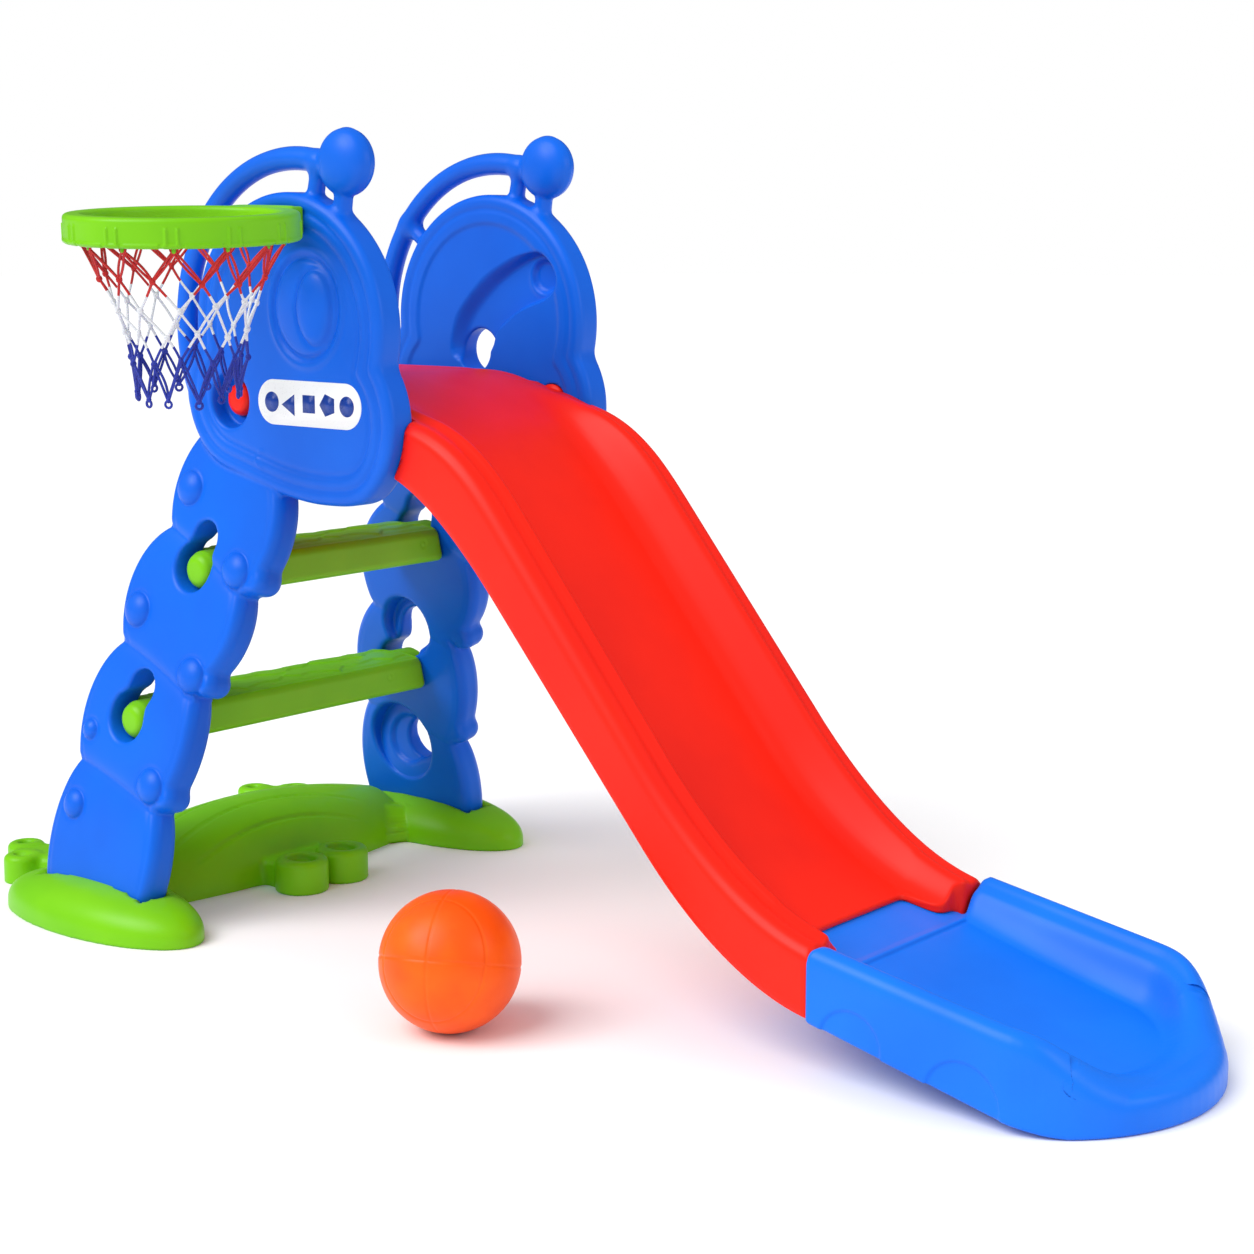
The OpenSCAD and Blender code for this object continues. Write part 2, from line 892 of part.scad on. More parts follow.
ext_seat_z = at(floor_top, extension_bolt_x) - floor_t - tongue_t + 8;
module extension_screws() {
    color("#b8bcc0")
        extension_bolt_places()
            translate([0, 0, ext_seat_z])
                screw_up(extension_screw_len);
}

module extension_washers() {
    color("#c8ccd0")
        extension_bolt_places()
            translate([0, 0, ext_seat_z])
                washer_up();
}

module label() {
    corner = label_h / 2 - 0.5;
    color("#fafafa")
        translate([label_c[0], -(panel_y + panel_t / 2 + label_t / 2), label_c[1]])
            side_view(label_t)
                offset(r = corner)
                    square([label_w - 2 * corner, label_h - 2 * corner], center = true);
}

module ball() {
    color("#ff6400")
        difference() {
            translate([ball_c[0], ball_c[1], ball_r])
                sphere(ball_r);
            valve_place()
                cylinder(r = 4, h = 20);
        }
}

// The valve sits on the side of the ball that faces the ladder
module valve_place() {
    translate([ball_c[0] - ball_r + 12, ball_c[1], ball_r])
        rotate([0, -90, 0])
            children();
}

module ball_valve() {
    color("#202020")
        valve_place()
            cylinder(r = 3.9, h = 11.5);
}

right_side_panel();
left_side_panel();
lower_step();
upper_step();
ladder_base();
chute();
chute_extension();
hoop_ring();
hoop_net();
hoop_screws();
hoop_washers();
hoop_nuts();
base_screws();
base_washers();
extension_screws();
extension_washers();
label();
ball();
ball_valve();
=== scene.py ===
"""Looks of a toddler slide set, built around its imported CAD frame.

The frame is X from the ladder to the exit, Y to the left panel and Z up. Sizes
in the classes are in millimetres; finished meshes are in metres.
"""
import logging
import math
from dataclasses import dataclass, field
from enum import Enum
from typing import Callable, Sequence

import bmesh
import bpy
import numpy as np
from mathutils import Matrix, Vector


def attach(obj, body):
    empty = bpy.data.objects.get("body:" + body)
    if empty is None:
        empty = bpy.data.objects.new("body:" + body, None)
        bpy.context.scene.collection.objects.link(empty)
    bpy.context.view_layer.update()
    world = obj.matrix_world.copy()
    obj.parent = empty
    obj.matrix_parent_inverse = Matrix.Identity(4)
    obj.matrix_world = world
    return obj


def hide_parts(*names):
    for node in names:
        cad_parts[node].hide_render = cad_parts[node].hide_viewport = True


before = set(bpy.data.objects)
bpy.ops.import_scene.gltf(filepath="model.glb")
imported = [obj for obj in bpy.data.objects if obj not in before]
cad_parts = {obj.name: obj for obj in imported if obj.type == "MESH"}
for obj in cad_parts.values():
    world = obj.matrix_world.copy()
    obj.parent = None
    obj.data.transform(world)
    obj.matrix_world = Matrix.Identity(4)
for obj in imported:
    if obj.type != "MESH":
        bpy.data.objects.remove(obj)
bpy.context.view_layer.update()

logging.basicConfig(level=logging.INFO, format="%(message)s")
LOG = logging.getLogger("slide")

MM = 0.001
BODY = "slide"
BALL_BODY = "ball"

Array = np.ndarray
Point2 = tuple[float, float]
Point3 = tuple[float, float, float]
Form = Callable[[Array], Array]


class Side(Enum):
    """Which of the two side panels, by the sign of its Y."""

    LEFT = 1
    RIGHT = -1


# ---------------------------------------------------------------- shape rules

def step_up(low: float, high: float, value: Array) -> Array:
    """Runs smoothly from 0 at low to 1 at high."""
    t = np.clip((value - low) / (high - low), 0, 1)
    return t * t * (3 - 2 * t)


def hump(value: Array, width: float) -> Array:
    """A soft bump of height 1 at zero, about width wide on each side."""
    return np.exp(-((value / width) ** 2))


def fuse(a: Array, b: Array, fillet: float) -> Array:
    """Joins two forms with a fillet.

    Args:
        a: Distance to the first form.
        b: Distance to the second form.
        fillet: Size of the blend between them.

    Returns:
        Distance to the joined form.
    """
    h = np.clip(0.5 + 0.5 * (b - a) / fillet, 0, 1)
    return b * (1 - h) + a * h - fillet * h * (1 - h)


def carve(a: Array, b: Array, lip: float) -> Array:
    """Cuts form b out of form a and rounds the lip."""
    return -fuse(-a, b, lip)


def disc(x: Array, z: Array, centre: Point2, radius: float) -> Array:
    """Distance to a disc in a plane."""
    return np.hypot(x - centre[0], z - centre[1]) - radius


def wrapped_discs(x: Array, z: Array, a: Point2, ra: float, b: Point2, rb: float) -> Array:
    """Distance to the outline that a taut band makes round two discs.

    Args:
        x: First coordinate of each point.
        z: Second coordinate of each point.
        a: Centre of the first disc.
        ra: Radius of the first disc.
        b: Centre of the second disc.
        rb: Radius of the second disc.

    Returns:
        Signed distance, negative inside.
    """
    bx, bz = b[0] - a[0], b[1] - a[1]
    px, pz = x - a[0], z - a[1]
    l2 = bx * bx + bz * bz
    rr = ra - rb
    a2 = l2 - rr * rr
    along = px * bx + pz * bz
    past = along - l2
    x2 = (px * l2 - bx * along) ** 2 + (pz * l2 - bz * along) ** 2
    y2 = along * along * l2
    z2 = past * past * l2
    k = math.copysign(1, rr) * rr * rr * x2
    near_b = np.sign(past) * a2 * z2 > k
    near_a = np.sign(along) * a2 * y2 < k
    middle = (np.sqrt(x2 * a2 / l2) + along * rr) / l2 - ra
    return np.where(near_b, np.sqrt(x2 + z2) / l2 - rb,
                    np.where(near_a, np.sqrt(x2 + y2) / l2 - ra, middle))


def outline_distance(x: Array, z: Array, corners: Sequence[Point2]) -> Array:
    """Signed distance to a closed outline, negative inside."""
    pts = np.asarray(corners, float)
    best = np.full(x.shape, 1e18)
    sign = np.ones(x.shape)
    for here, last in zip(pts, np.roll(pts, 1, axis=0)):
        ex, ez = last - here
        wx, wz = x - here[0], z - here[1]
        t = np.clip((wx * ex + wz * ez) / (ex * ex + ez * ez), 0, 1)
        best = np.minimum(best, (wx - ex * t) ** 2 + (wz - ez * t) ** 2)
        c1, c2, c3 = z >= here[1], z < last[1], ex * wz > ez * wx
        flip = (c1 & c2 & c3) | (~c1 & ~c2 & ~c3)
        sign = np.where(flip, -sign, sign)
    return sign * np.sqrt(best)


def plate(edge: Array, depth: Array, half: float, radius: float) -> Array:
    """Distance to a flat plate with rounded edges.

    Args:
        edge: Distance to the plate's outline in its own plane.
        depth: Distance from the plate's middle plane.
        half: Half of the plate's thickness.
        radius: Radius of the rounded edges.

    Returns:
        Signed distance, negative inside.
    """
    q1 = edge + radius
    q2 = np.abs(depth) - half + radius
    outside = np.hypot(np.maximum(q1, 0), np.maximum(q2, 0))
    return np.minimum(np.maximum(q1, q2), 0) + outside - radius


def rod(p: Array, a: Point3, b: Point3, radius: float) -> Array:
    """Distance to a round-ended rod between two points."""
    start, axis = np.asarray(a, float), np.asarray(b, float) - np.asarray(a, float)
    t = np.clip(((p - start) @ axis) / (axis @ axis), 0, 1)
    return np.linalg.norm(p - start - t[:, None] * axis, axis=1) - radius


def bow(points: Sequence[Point2], count: int = 32) -> Array:
    """Points along a cubic curve with two end points and two handles."""
    p = np.asarray(points, float)
    t = np.linspace(0, 1, count)[:, None]
    u = 1 - t
    return u ** 3 * p[0] + 3 * u * u * t * p[1] + 3 * u * t * t * p[2] + t ** 3 * p[3]


def round_outline(corners: Sequence[Point2], grow: float, count: int = 6) -> list[Point2]:
    """A smooth closed outline through some points, moved outward.

    Args:
        corners: Points in order round the outline.
        grow: How far it moves outward.
        count: Points laid between each two corners.

    Returns:
        The new outline.
    """
    p = np.asarray(corners, float)
    found = []
    for i in range(len(p)):
        a, b, c, d = (p[(i + k) % len(p)] for k in (-1, 0, 1, 2))
        for t in np.linspace(0, 1, count, endpoint=False):
            found.append(0.5 * (2 * b + (c - a) * t + (2 * a - 5 * b + 4 * c - d) * t * t
                                + (3 * b - a - 3 * c + d) * t ** 3))
    line = np.array(found)
    along = np.roll(line, -1, axis=0) - np.roll(line, 1, axis=0)
    out = np.stack([along[:, 1], -along[:, 0]], 1) / np.linalg.norm(along, axis=1)[:, None]
    area = np.sum(line[:, 0] * np.roll(line[:, 1], -1) - line[:, 1] * np.roll(line[:, 0], -1))
    return [tuple(q) for q in line + out * grow * np.sign(area)]


# ---------------------------------------------------------------- mesh making

@dataclass(frozen=True)
class Plug:
    """A peg that fills a hidden screw hole before the surface is made even."""

    place: Point3
    axis: Point3
    radius: float
    length: float

    def add_to(self, bm: bmesh.types.BMesh) -> None:
        """Adds the plug to a mesh, in metres."""
        turn = Vector((0, 0, 1)).rotation_difference(Vector(self.axis)).to_matrix().to_4x4()
        bmesh.ops.create_cone(
            bm, cap_ends=True, segments=16, radius1=self.radius * MM, radius2=self.radius * MM,
            depth=self.length * MM, matrix=Matrix.Translation(Vector(self.place) * MM) @ turn)


def add_object(name: str, data: bpy.types.ID) -> bpy.types.Object:
    """Makes an object and puts it in the scene."""
    obj = bpy.data.objects.new(name, data)
    bpy.context.scene.collection.objects.link(obj)
    return obj


def applied(obj: bpy.types.Object) -> bpy.types.Mesh:
    """The mesh that an object shows, with its modifiers or its bevel in it."""
    shown = obj.evaluated_get(bpy.context.evaluated_depsgraph_get())
    return bpy.data.meshes.new_from_object(shown)


def even_skin(node: str, grid: float, plugs: Sequence[Plug] = ()) -> bpy.types.Mesh:
    """Copies a CAD node's solid and gives it an even skin that can be moulded.

    Args:
        node: Name of the CAD node.
        grid: Size of the skin's faces in millimetres.
        plugs: Pegs that fill hidden screw holes.

    Returns:
        The new mesh, in metres.
    """
    bm = bmesh.new()
    bm.from_mesh(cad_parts[node].data)
    bmesh.ops.remove_doubles(bm, verts=bm.verts, dist=1e-6)
    for plug in plugs:
        plug.add_to(bm)
    mesh = bpy.data.meshes.new(node + "_skin")
    bm.to_mesh(mesh)
    bm.free()
    return evened(mesh, grid)


def evened(mesh: bpy.types.Mesh, grid: float) -> bpy.types.Mesh:
    """Gives a closed mesh a new skin of even faces and clears its materials."""
    body = add_object(mesh.name, mesh)
    remesh = body.modifiers.new("even", "REMESH")
    remesh.mode = "VOXEL"
    remesh.voxel_size = grid * MM
    remesh.adaptivity = 0
    result = applied(body)
    bpy.data.objects.remove(body)
    result.materials.clear()
    return result


def relax(mesh: bpy.types.Mesh, rounds: int) -> None:
    """Evens out a mesh by smoothing its points a few times."""
    bm = bmesh.new()
    bm.from_mesh(mesh)
    for _ in range(rounds):
        bmesh.ops.smooth_vert(bm, verts=bm.verts, factor=0.5,
                              use_axis_x=True, use_axis_y=True, use_axis_z=True)
    bm.to_mesh(mesh)
    bm.free()


def points_of(mesh: bpy.types.Mesh) -> Array:
    """A mesh's points in millimetres."""
    co = np.empty(len(mesh.vertices) * 3)
    mesh.vertices.foreach_get("co", co)
    return co.reshape(-1, 3) / MM


def put_points(mesh: bpy.types.Mesh, points: Array) -> None:
    """Puts points in millimetres back into a mesh."""
    mesh.vertices.foreach_set("co", (points * MM).ravel())
    mesh.update()


def press(mesh: bpy.types.Mesh, form: Form, rounds: int, reach: float = 3.0) -> None:
    """Moves every point of a mesh onto a form's surface.

    Args:
        mesh: The mesh, changed in place.
        form: Distance to the surface at each point, in millimetres.
        rounds: How many times each point moves.
        reach: The most that a point moves in one round.
    """
    h = 0.3
    p = points_of(mesh)
    for _ in range(rounds):
        value = form(p)
        slope = np.stack([(form(p + h * axis) - value) / h for axis in np.eye(3)], 1)
        move = -slope * (value / np.maximum((slope ** 2).sum(1), 0.25))[:, None]
        length = np.linalg.norm(move, axis=1)
        p += move * np.minimum(1, reach / np.maximum(length, 1e-9))[:, None]
    put_points(mesh, p)


def mould(mesh: bpy.types.Mesh, form: Form) -> None:
    """Takes an even skin to its final moulded surface."""
    relax(mesh, 4)
    press(mesh, form, 4)
    relax(mesh, 2)
    press(mesh, form, 3)
    relax(mesh, 1)
    press(mesh, form, 2)
    p = points_of(mesh)
    p[:, 2] = np.maximum(p[:, 2], 0)
    put_points(mesh, p)


def mesh_from(bm: bmesh.types.BMesh, name: str) -> bpy.types.Mesh:
    """Turns a working mesh into a finished one and frees it."""
    mesh = bpy.data.meshes.new(name)
    bm.to_mesh(mesh)
    bm.free()
    return mesh


def piece(mesh: bpy.types.Mesh, name: str,
          finish: bpy.types.Material | Sequence[bpy.types.Material],
          nodes: Sequence[str] = (), body: str = BODY) -> bpy.types.Object:
    """Makes a shown piece from a mesh and ties it to the frame.

    Args:
        mesh: The finished mesh, in metres and in place.
        name: Name of the piece.
        finish: Its material, or several.
        nodes: CAD nodes that it stands for.
        body: The body that it moves with.

    Returns:
        The new object.
    """
    mesh.name = name
    mesh.shade_smooth()
    obj = add_object(name, mesh)
    for material in finish if isinstance(finish, (list, tuple)) else [finish]:
        mesh.materials.append(material)
    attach(obj, body)
    if nodes:
        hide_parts(*nodes)
    LOG.info("%s: %d faces", name, len(mesh.polygons))
    return obj


# ------------------------------------------------------------------- finishes

def linear(hex_code: str, alpha: float = 1.0) -> tuple[float, float, float, float]:
    """Turns an sRGB hex colour into the linear colour that a shader takes."""
    parts = [int(hex_code[i:i + 2], 16) / 255 for i in (1, 3, 5)]
    return (*[c / 12.92 if c <= 0.04045 else ((c + 0.055) / 1.055) ** 2.4 for c in parts], alpha)


def add_node(tree: bpy.types.NodeTree, kind: str, settings: dict | None = None,
             inputs: dict | None = None) -> bpy.types.Node:
    """Adds a shader node with its settings, values and links.

    Args:
        tree: The material's node tree.
        kind: The node's type name.
        settings: Properties to set on the node.
        inputs: Socket names or numbers with a value, or a socket to link from.

    Returns:
        The new node.
    """
    node = tree.nodes.new(kind)
    for key, value in (settings or {}).items():
        setattr(node, key, value)
    for key, value in (inputs or {}).items():
        if isinstance(value, bpy.types.NodeSocket):
            tree.links.new(value, node.inputs[key])
        else:
            node.inputs[key].default_value = value
    return node


def blank_material(name: str) -> tuple[bpy.types.Material, bpy.types.NodeTree]:
    """A new material with an empty node tree."""
    material = bpy.data.materials.new(name)
    material.use_nodes = True
    material.node_tree.nodes.clear()
    return material, material.node_tree


@dataclass(frozen=True)
class MouldedPlastic:
    """Blow-moulded polyethylene, HDPE for the stiff parts.

    The mould is grit-blasted, so the skin is satin with a fine even grain, and
    the thick hollow walls cool unevenly, which leaves slow colour and gloss drifts.
    """

    name: str
    colour: str
    deep: str
    roughness: float = 0.36
    ior: float = 1.5
    grain: float = 1.1
    specular: float = 0.24

    def build(self) -> bpy.types.Material:
        """Makes the material."""
        material, tree = blank_material(self.name)
        place = add_node(tree, "ShaderNodeTexCoord").outputs["Object"]
        # Cooling drifts: patches about 160 mm across, barely darker than the rest.
        drift = add_node(tree, "ShaderNodeTexNoise", {}, {
            "Vector": place, "Scale": 1000 / 160, "Detail": 3.0, "Roughness": 0.5})
        tint = add_node(tree, "ShaderNodeValToRGB", {}, {"Fac": drift.outputs["Fac"]})
        tint.color_ramp.elements[0].position = 0.3
        tint.color_ramp.elements[0].color = linear(self.deep)
        tint.color_ramp.elements[1].position = 0.62
        tint.color_ramp.elements[1].color = linear(self.colour)
        # Blasted grain: the grit is 0.3 mm, drawn at about 1.1 mm so that it shows.
        grain = add_node(tree, "ShaderNodeTexNoise", {}, {
            "Vector": place, "Scale": 1000 / self.grain, "Detail": 2.0, "Roughness": 0.6})
        # Sink and flow waviness of a blown wall: waves of about 45 mm, a few hundredths deep.
        flow = add_node(tree, "ShaderNodeTexNoise", {}, {
            "Vector": place, "Scale": 1000 / 45, "Detail": 1.0, "Roughness": 0.4})
        wave = add_node(tree, "ShaderNodeBump", {}, {
            "Strength": 0.25, "Distance": 0.0006, "Height": flow.outputs["Fac"]})
        bump = add_node(tree, "ShaderNodeBump", {}, {
            "Strength": 0.3, "Distance": 0.00012, "Height": grain.outputs["Fac"],
            "Normal": wave.outputs["Normal"]})
        gloss = add_node(tree, "ShaderNodeMapRange", {}, {
            "Value": drift.outputs["Fac"], "From Min": 0.3, "From Max": 0.7,
            "To Min": self.roughness + 0.05, "To Max": self.roughness - 0.03})
        shader = add_node(tree, "ShaderNodeBsdfPrincipled", {}, {
            "Base Color": tint.outputs["Color"], "Roughness": gloss.outputs["Result"],
            "IOR": self.ior, "Specular IOR Level": self.specular, "Normal": bump.outputs["Normal"]})
        add_node(tree, "ShaderNodeOutputMaterial", {}, {"Surface": shader.outputs["BSDF"]})
        return material


@dataclass(frozen=True)
class PlatedSteel:
    """Zinc-plated steel: drawn and headed, then barrel plated, so it is bright
    with a faint mottle and small handling marks."""

    name: str = "zinc_plated_steel"
    colour: str = "#C9CCD1"
    roughness: float = 0.3

    def build(self) -> bpy.types.Material:
        """Makes the material."""
        material, tree = blank_material(self.name)
        place = add_node(tree, "ShaderNodeTexCoord").outputs["Object"]
        # Mottle of the plating, patches of about 3 mm.
        mottle = add_node(tree, "ShaderNodeTexNoise", {}, {
            "Vector": place, "Scale": 1000 / 3, "Detail": 4.0})
        rough = add_node(tree, "ShaderNodeMapRange", {}, {
            "Value": mottle.outputs["Fac"],
            "To Min": self.roughness - 0.08, "To Max": self.roughness + 0.15})
        tone = add_node(tree, "ShaderNodeValToRGB", {}, {"Fac": mottle.outputs["Fac"]})
        tone.color_ramp.elements[0].color = linear("#AEB2B8")
        tone.color_ramp.elements[1].color = linear(self.colour)
        bump = add_node(tree, "ShaderNodeBump", {}, {
            "Strength": 0.15, "Distance": 0.0001, "Height": mottle.outputs["Fac"]})
        shader = add_node(tree, "ShaderNodeBsdfPrincipled", {}, {
            "Base Color": tone.outputs["Color"], "Metallic": 1.0,
            "Roughness": rough.outputs["Result"], "Normal": bump.outputs["Normal"]})
        add_node(tree, "ShaderNodeOutputMaterial", {}, {"Surface": shader.outputs["BSDF"]})
        return material


@dataclass(frozen=True)
class BraidedCord:
    """Braided polyester cord: soft fuzzy filaments with a fine diagonal braid, and shade painted
    into the grooves between the plaits.
    """

    name: str
    colour: str
    # Darker colour painted into the grooves between plaits as shade.
    plait_gap_shade: str

    def build(self) -> bpy.types.Material:
        """Makes the material."""
        material, tree = blank_material(self.name)
        place = add_node(tree, "ShaderNodeTexCoord").outputs["Object"]
        # The plaits are 0.8 mm long, drawn at 1.6 mm so that they show.
        braid = add_node(tree, "ShaderNodeTexVoronoi", {}, {"Vector": place, "Scale": 1000 / 1.6})
        tone = add_node(tree, "ShaderNodeValToRGB", {}, {"Fac": braid.outputs["Distance"]})
        tone.color_ramp.elements[0].color = linear(self.colour)
        tone.color_ramp.elements[1].position = 0.9
        # Painted shade: the colour runs to the darker one toward each plait's edge, in the grooves
        # between plaits.
        tone.color_ramp.elements[1].color = linear(self.plait_gap_shade)
        bump = add_node(tree, "ShaderNodeBump", {}, {
            "Strength": 0.7, "Distance": 0.0004, "Height": braid.outputs["Distance"]})
        bump.invert = True
        shader = add_node(tree, "ShaderNodeBsdfPrincipled", {}, {
            "Base Color": tone.outputs["Color"], "Roughness": 0.62, "Sheen Weight": 0.06,
            "Sheen Roughness": 0.5, "Normal": bump.outputs["Normal"]})
        add_node(tree, "ShaderNodeOutputMaterial", {}, {"Surface": shader.outputs["BSDF"]})
        return material


@dataclass(frozen=True)
class BallVinyl:
    """Rotomoulded PVC, the soft vinyl of play balls: satin, with a pebbled skin."""

    name: str = "ball_vinyl"
    colour: str = "#FF6200"
    deep: str = "#F45400"
    roughness: float = 0.4

    def build(self) -> bpy.types.Material:
        """Makes the material."""
        material, tree = blank_material(self.name)
        place = add_node(tree, "ShaderNodeTexCoord").outputs["Object"]
        # Pebbles of about 1.4 mm, very shallow.
        pebble = add_node(tree, "ShaderNodeTexVoronoi", {"feature": "SMOOTH_F1"}, {
            "Vector": place, "Scale": 1000 / 1.4})
        cloud = add_node(tree, "ShaderNodeTexNoise", {}, {
            "Vector": place, "Scale": 1000 / 60, "Detail": 3.0})
        tone = add_node(tree, "ShaderNodeValToRGB", {}, {"Fac": cloud.outputs["Fac"]})
        tone.color_ramp.elements[0].position = 0.35
        tone.color_ramp.elements[0].color = linear(self.deep)
        tone.color_ramp.elements[1].position = 0.65
        tone.color_ramp.elements[1].color = linear(self.colour)
        bump = add_node(tree, "ShaderNodeBump", {}, {
            "Strength": 0.25, "Distance": 0.0002, "Height": pebble.outputs["Distance"]})
        shader = add_node(tree, "ShaderNodeBsdfPrincipled", {}, {
            "Base Color": tone.outputs["Color"], "Roughness": self.roughness, "IOR": 1.52,
            "Specular IOR Level": 0.26, "Normal": bump.outputs["Normal"]})
        add_node(tree, "ShaderNodeOutputMaterial", {}, {"Surface": shader.outputs["BSDF"]})
        return material


@dataclass(frozen=True)
class PrintedFilm:
    """Vinyl label film: calendered and printed, smooth with a faint orange peel."""

    name: str
    colour: str
    roughness: float = 0.28

    def build(self) -> bpy.types.Material:
        """Makes the material."""
        material, tree = blank_material(self.name)
        place = add_node(tree, "ShaderNodeTexCoord").outputs["Object"]
        # Orange peel of the film, about 2 mm across.
        peel = add_node(tree, "ShaderNodeTexNoise", {}, {
            "Vector": place, "Scale": 1000 / 2, "Detail": 2.0})
        rough = add_node(tree, "ShaderNodeMapRange", {}, {
            "Value": peel.outputs["Fac"],
            "To Min": self.roughness - 0.05, "To Max": self.roughness + 0.08})
        bump = add_node(tree, "ShaderNodeBump", {}, {
            "Strength": 0.1, "Distance": 0.0001, "Height": peel.outputs["Fac"]})
        shader = add_node(tree, "ShaderNodeBsdfPrincipled", {}, {
            "Base Color": linear(self.colour), "Roughness": rough.outputs["Result"],
            "Normal": bump.outputs["Normal"]})
        add_node(tree, "ShaderNodeOutputMaterial", {}, {"Surface": shader.outputs["BSDF"]})
        return material


@dataclass(frozen=True)
class ValveRubber:
    """Moulded black rubber of the ball's valve: matt with a dusty bloom."""

    name: str = "valve_rubber"
    colour: str = "#1A1A1C"

    def build(self) -> bpy.types.Material:
        """Makes the material."""
        material, tree = blank_material(self.name)
        place = add_node(tree, "ShaderNodeTexCoord").outputs["Object"]
        # Bloom in specks of about 1 mm.
        bloom = add_node(tree, "ShaderNodeTexNoise", {}, {
            "Vector": place, "Scale": 1000.0, "Detail": 3.0})
        tone = add_node(tree, "ShaderNodeValToRGB", {}, {"Fac": bloom.outputs["Fac"]})
        tone.color_ramp.elements[0].color = linear(self.colour)
        tone.color_ramp.elements[1].color = linear("#333336")
        shader = add_node(tree, "ShaderNodeBsdfPrincipled", {}, {
            "Base Color": tone.outputs["Color"], "Roughness": 0.62})
        add_node(tree, "ShaderNodeOutputMaterial", {}, {"Surface": shader.outputs["BSDF"]})
        return material


@dataclass
class Finishes:
    """Every finish on the set, made once."""

    blue: bpy.types.Material = field(default_factory=lambda: MouldedPlastic(
        "blue_polyethylene", "#0464DE", "#025CD4").build())
    light_blue: bpy.types.Material = field(default_factory=lambda: MouldedPlastic(
        "light_blue_polyethylene", "#0C74EE", "#066CE6").build())
    red: bpy.types.Material = field(default_factory=lambda: MouldedPlastic(
        "red_polyethylene", "#F81E06", "#F01804").build())
    green: bpy.types.Material = field(default_factory=lambda: MouldedPlastic(
        "green_polyethylene", "#78C60A", "#6CBC08").build())
    steel: bpy.types.Material = field(default_factory=lambda: PlatedSteel().build())
    # The third colour of each cord is shade painted into the grooves between its plaits.
    red_cord: bpy.types.Material = field(default_factory=lambda: BraidedCord(
        "red_polyester_cord", "#DC100C", "#A80806").build())
    white_cord: bpy.types.Material = field(default_factory=lambda: BraidedCord(
        "white_polyester_cord", "#F2F3F6", "#C4C8D2").build())
    blue_cord: bpy.types.Material = field(default_factory=lambda: BraidedCord(
        "blue_polyester_cord", "#1430B4", "#0A1E80").build())
    ball: bpy.types.Material = field(default_factory=lambda: BallVinyl().build())
    film: bpy.types.Material = field(default_factory=lambda: PrintedFilm(
        "label_film", "#F6F7F8").build())
    ink: bpy.types.Material = field(default_factory=lambda: PrintedFilm(
        "label_ink_blue", "#123E9C").build())
    red_ink: bpy.types.Material = field(default_factory=lambda: PrintedFilm(
        "label_ink_red", "#E02018").build())
    rubber: bpy.types.Material = field(default_factory=lambda: ValveRubber().build())


# --------------------------------------------------------------------- studio

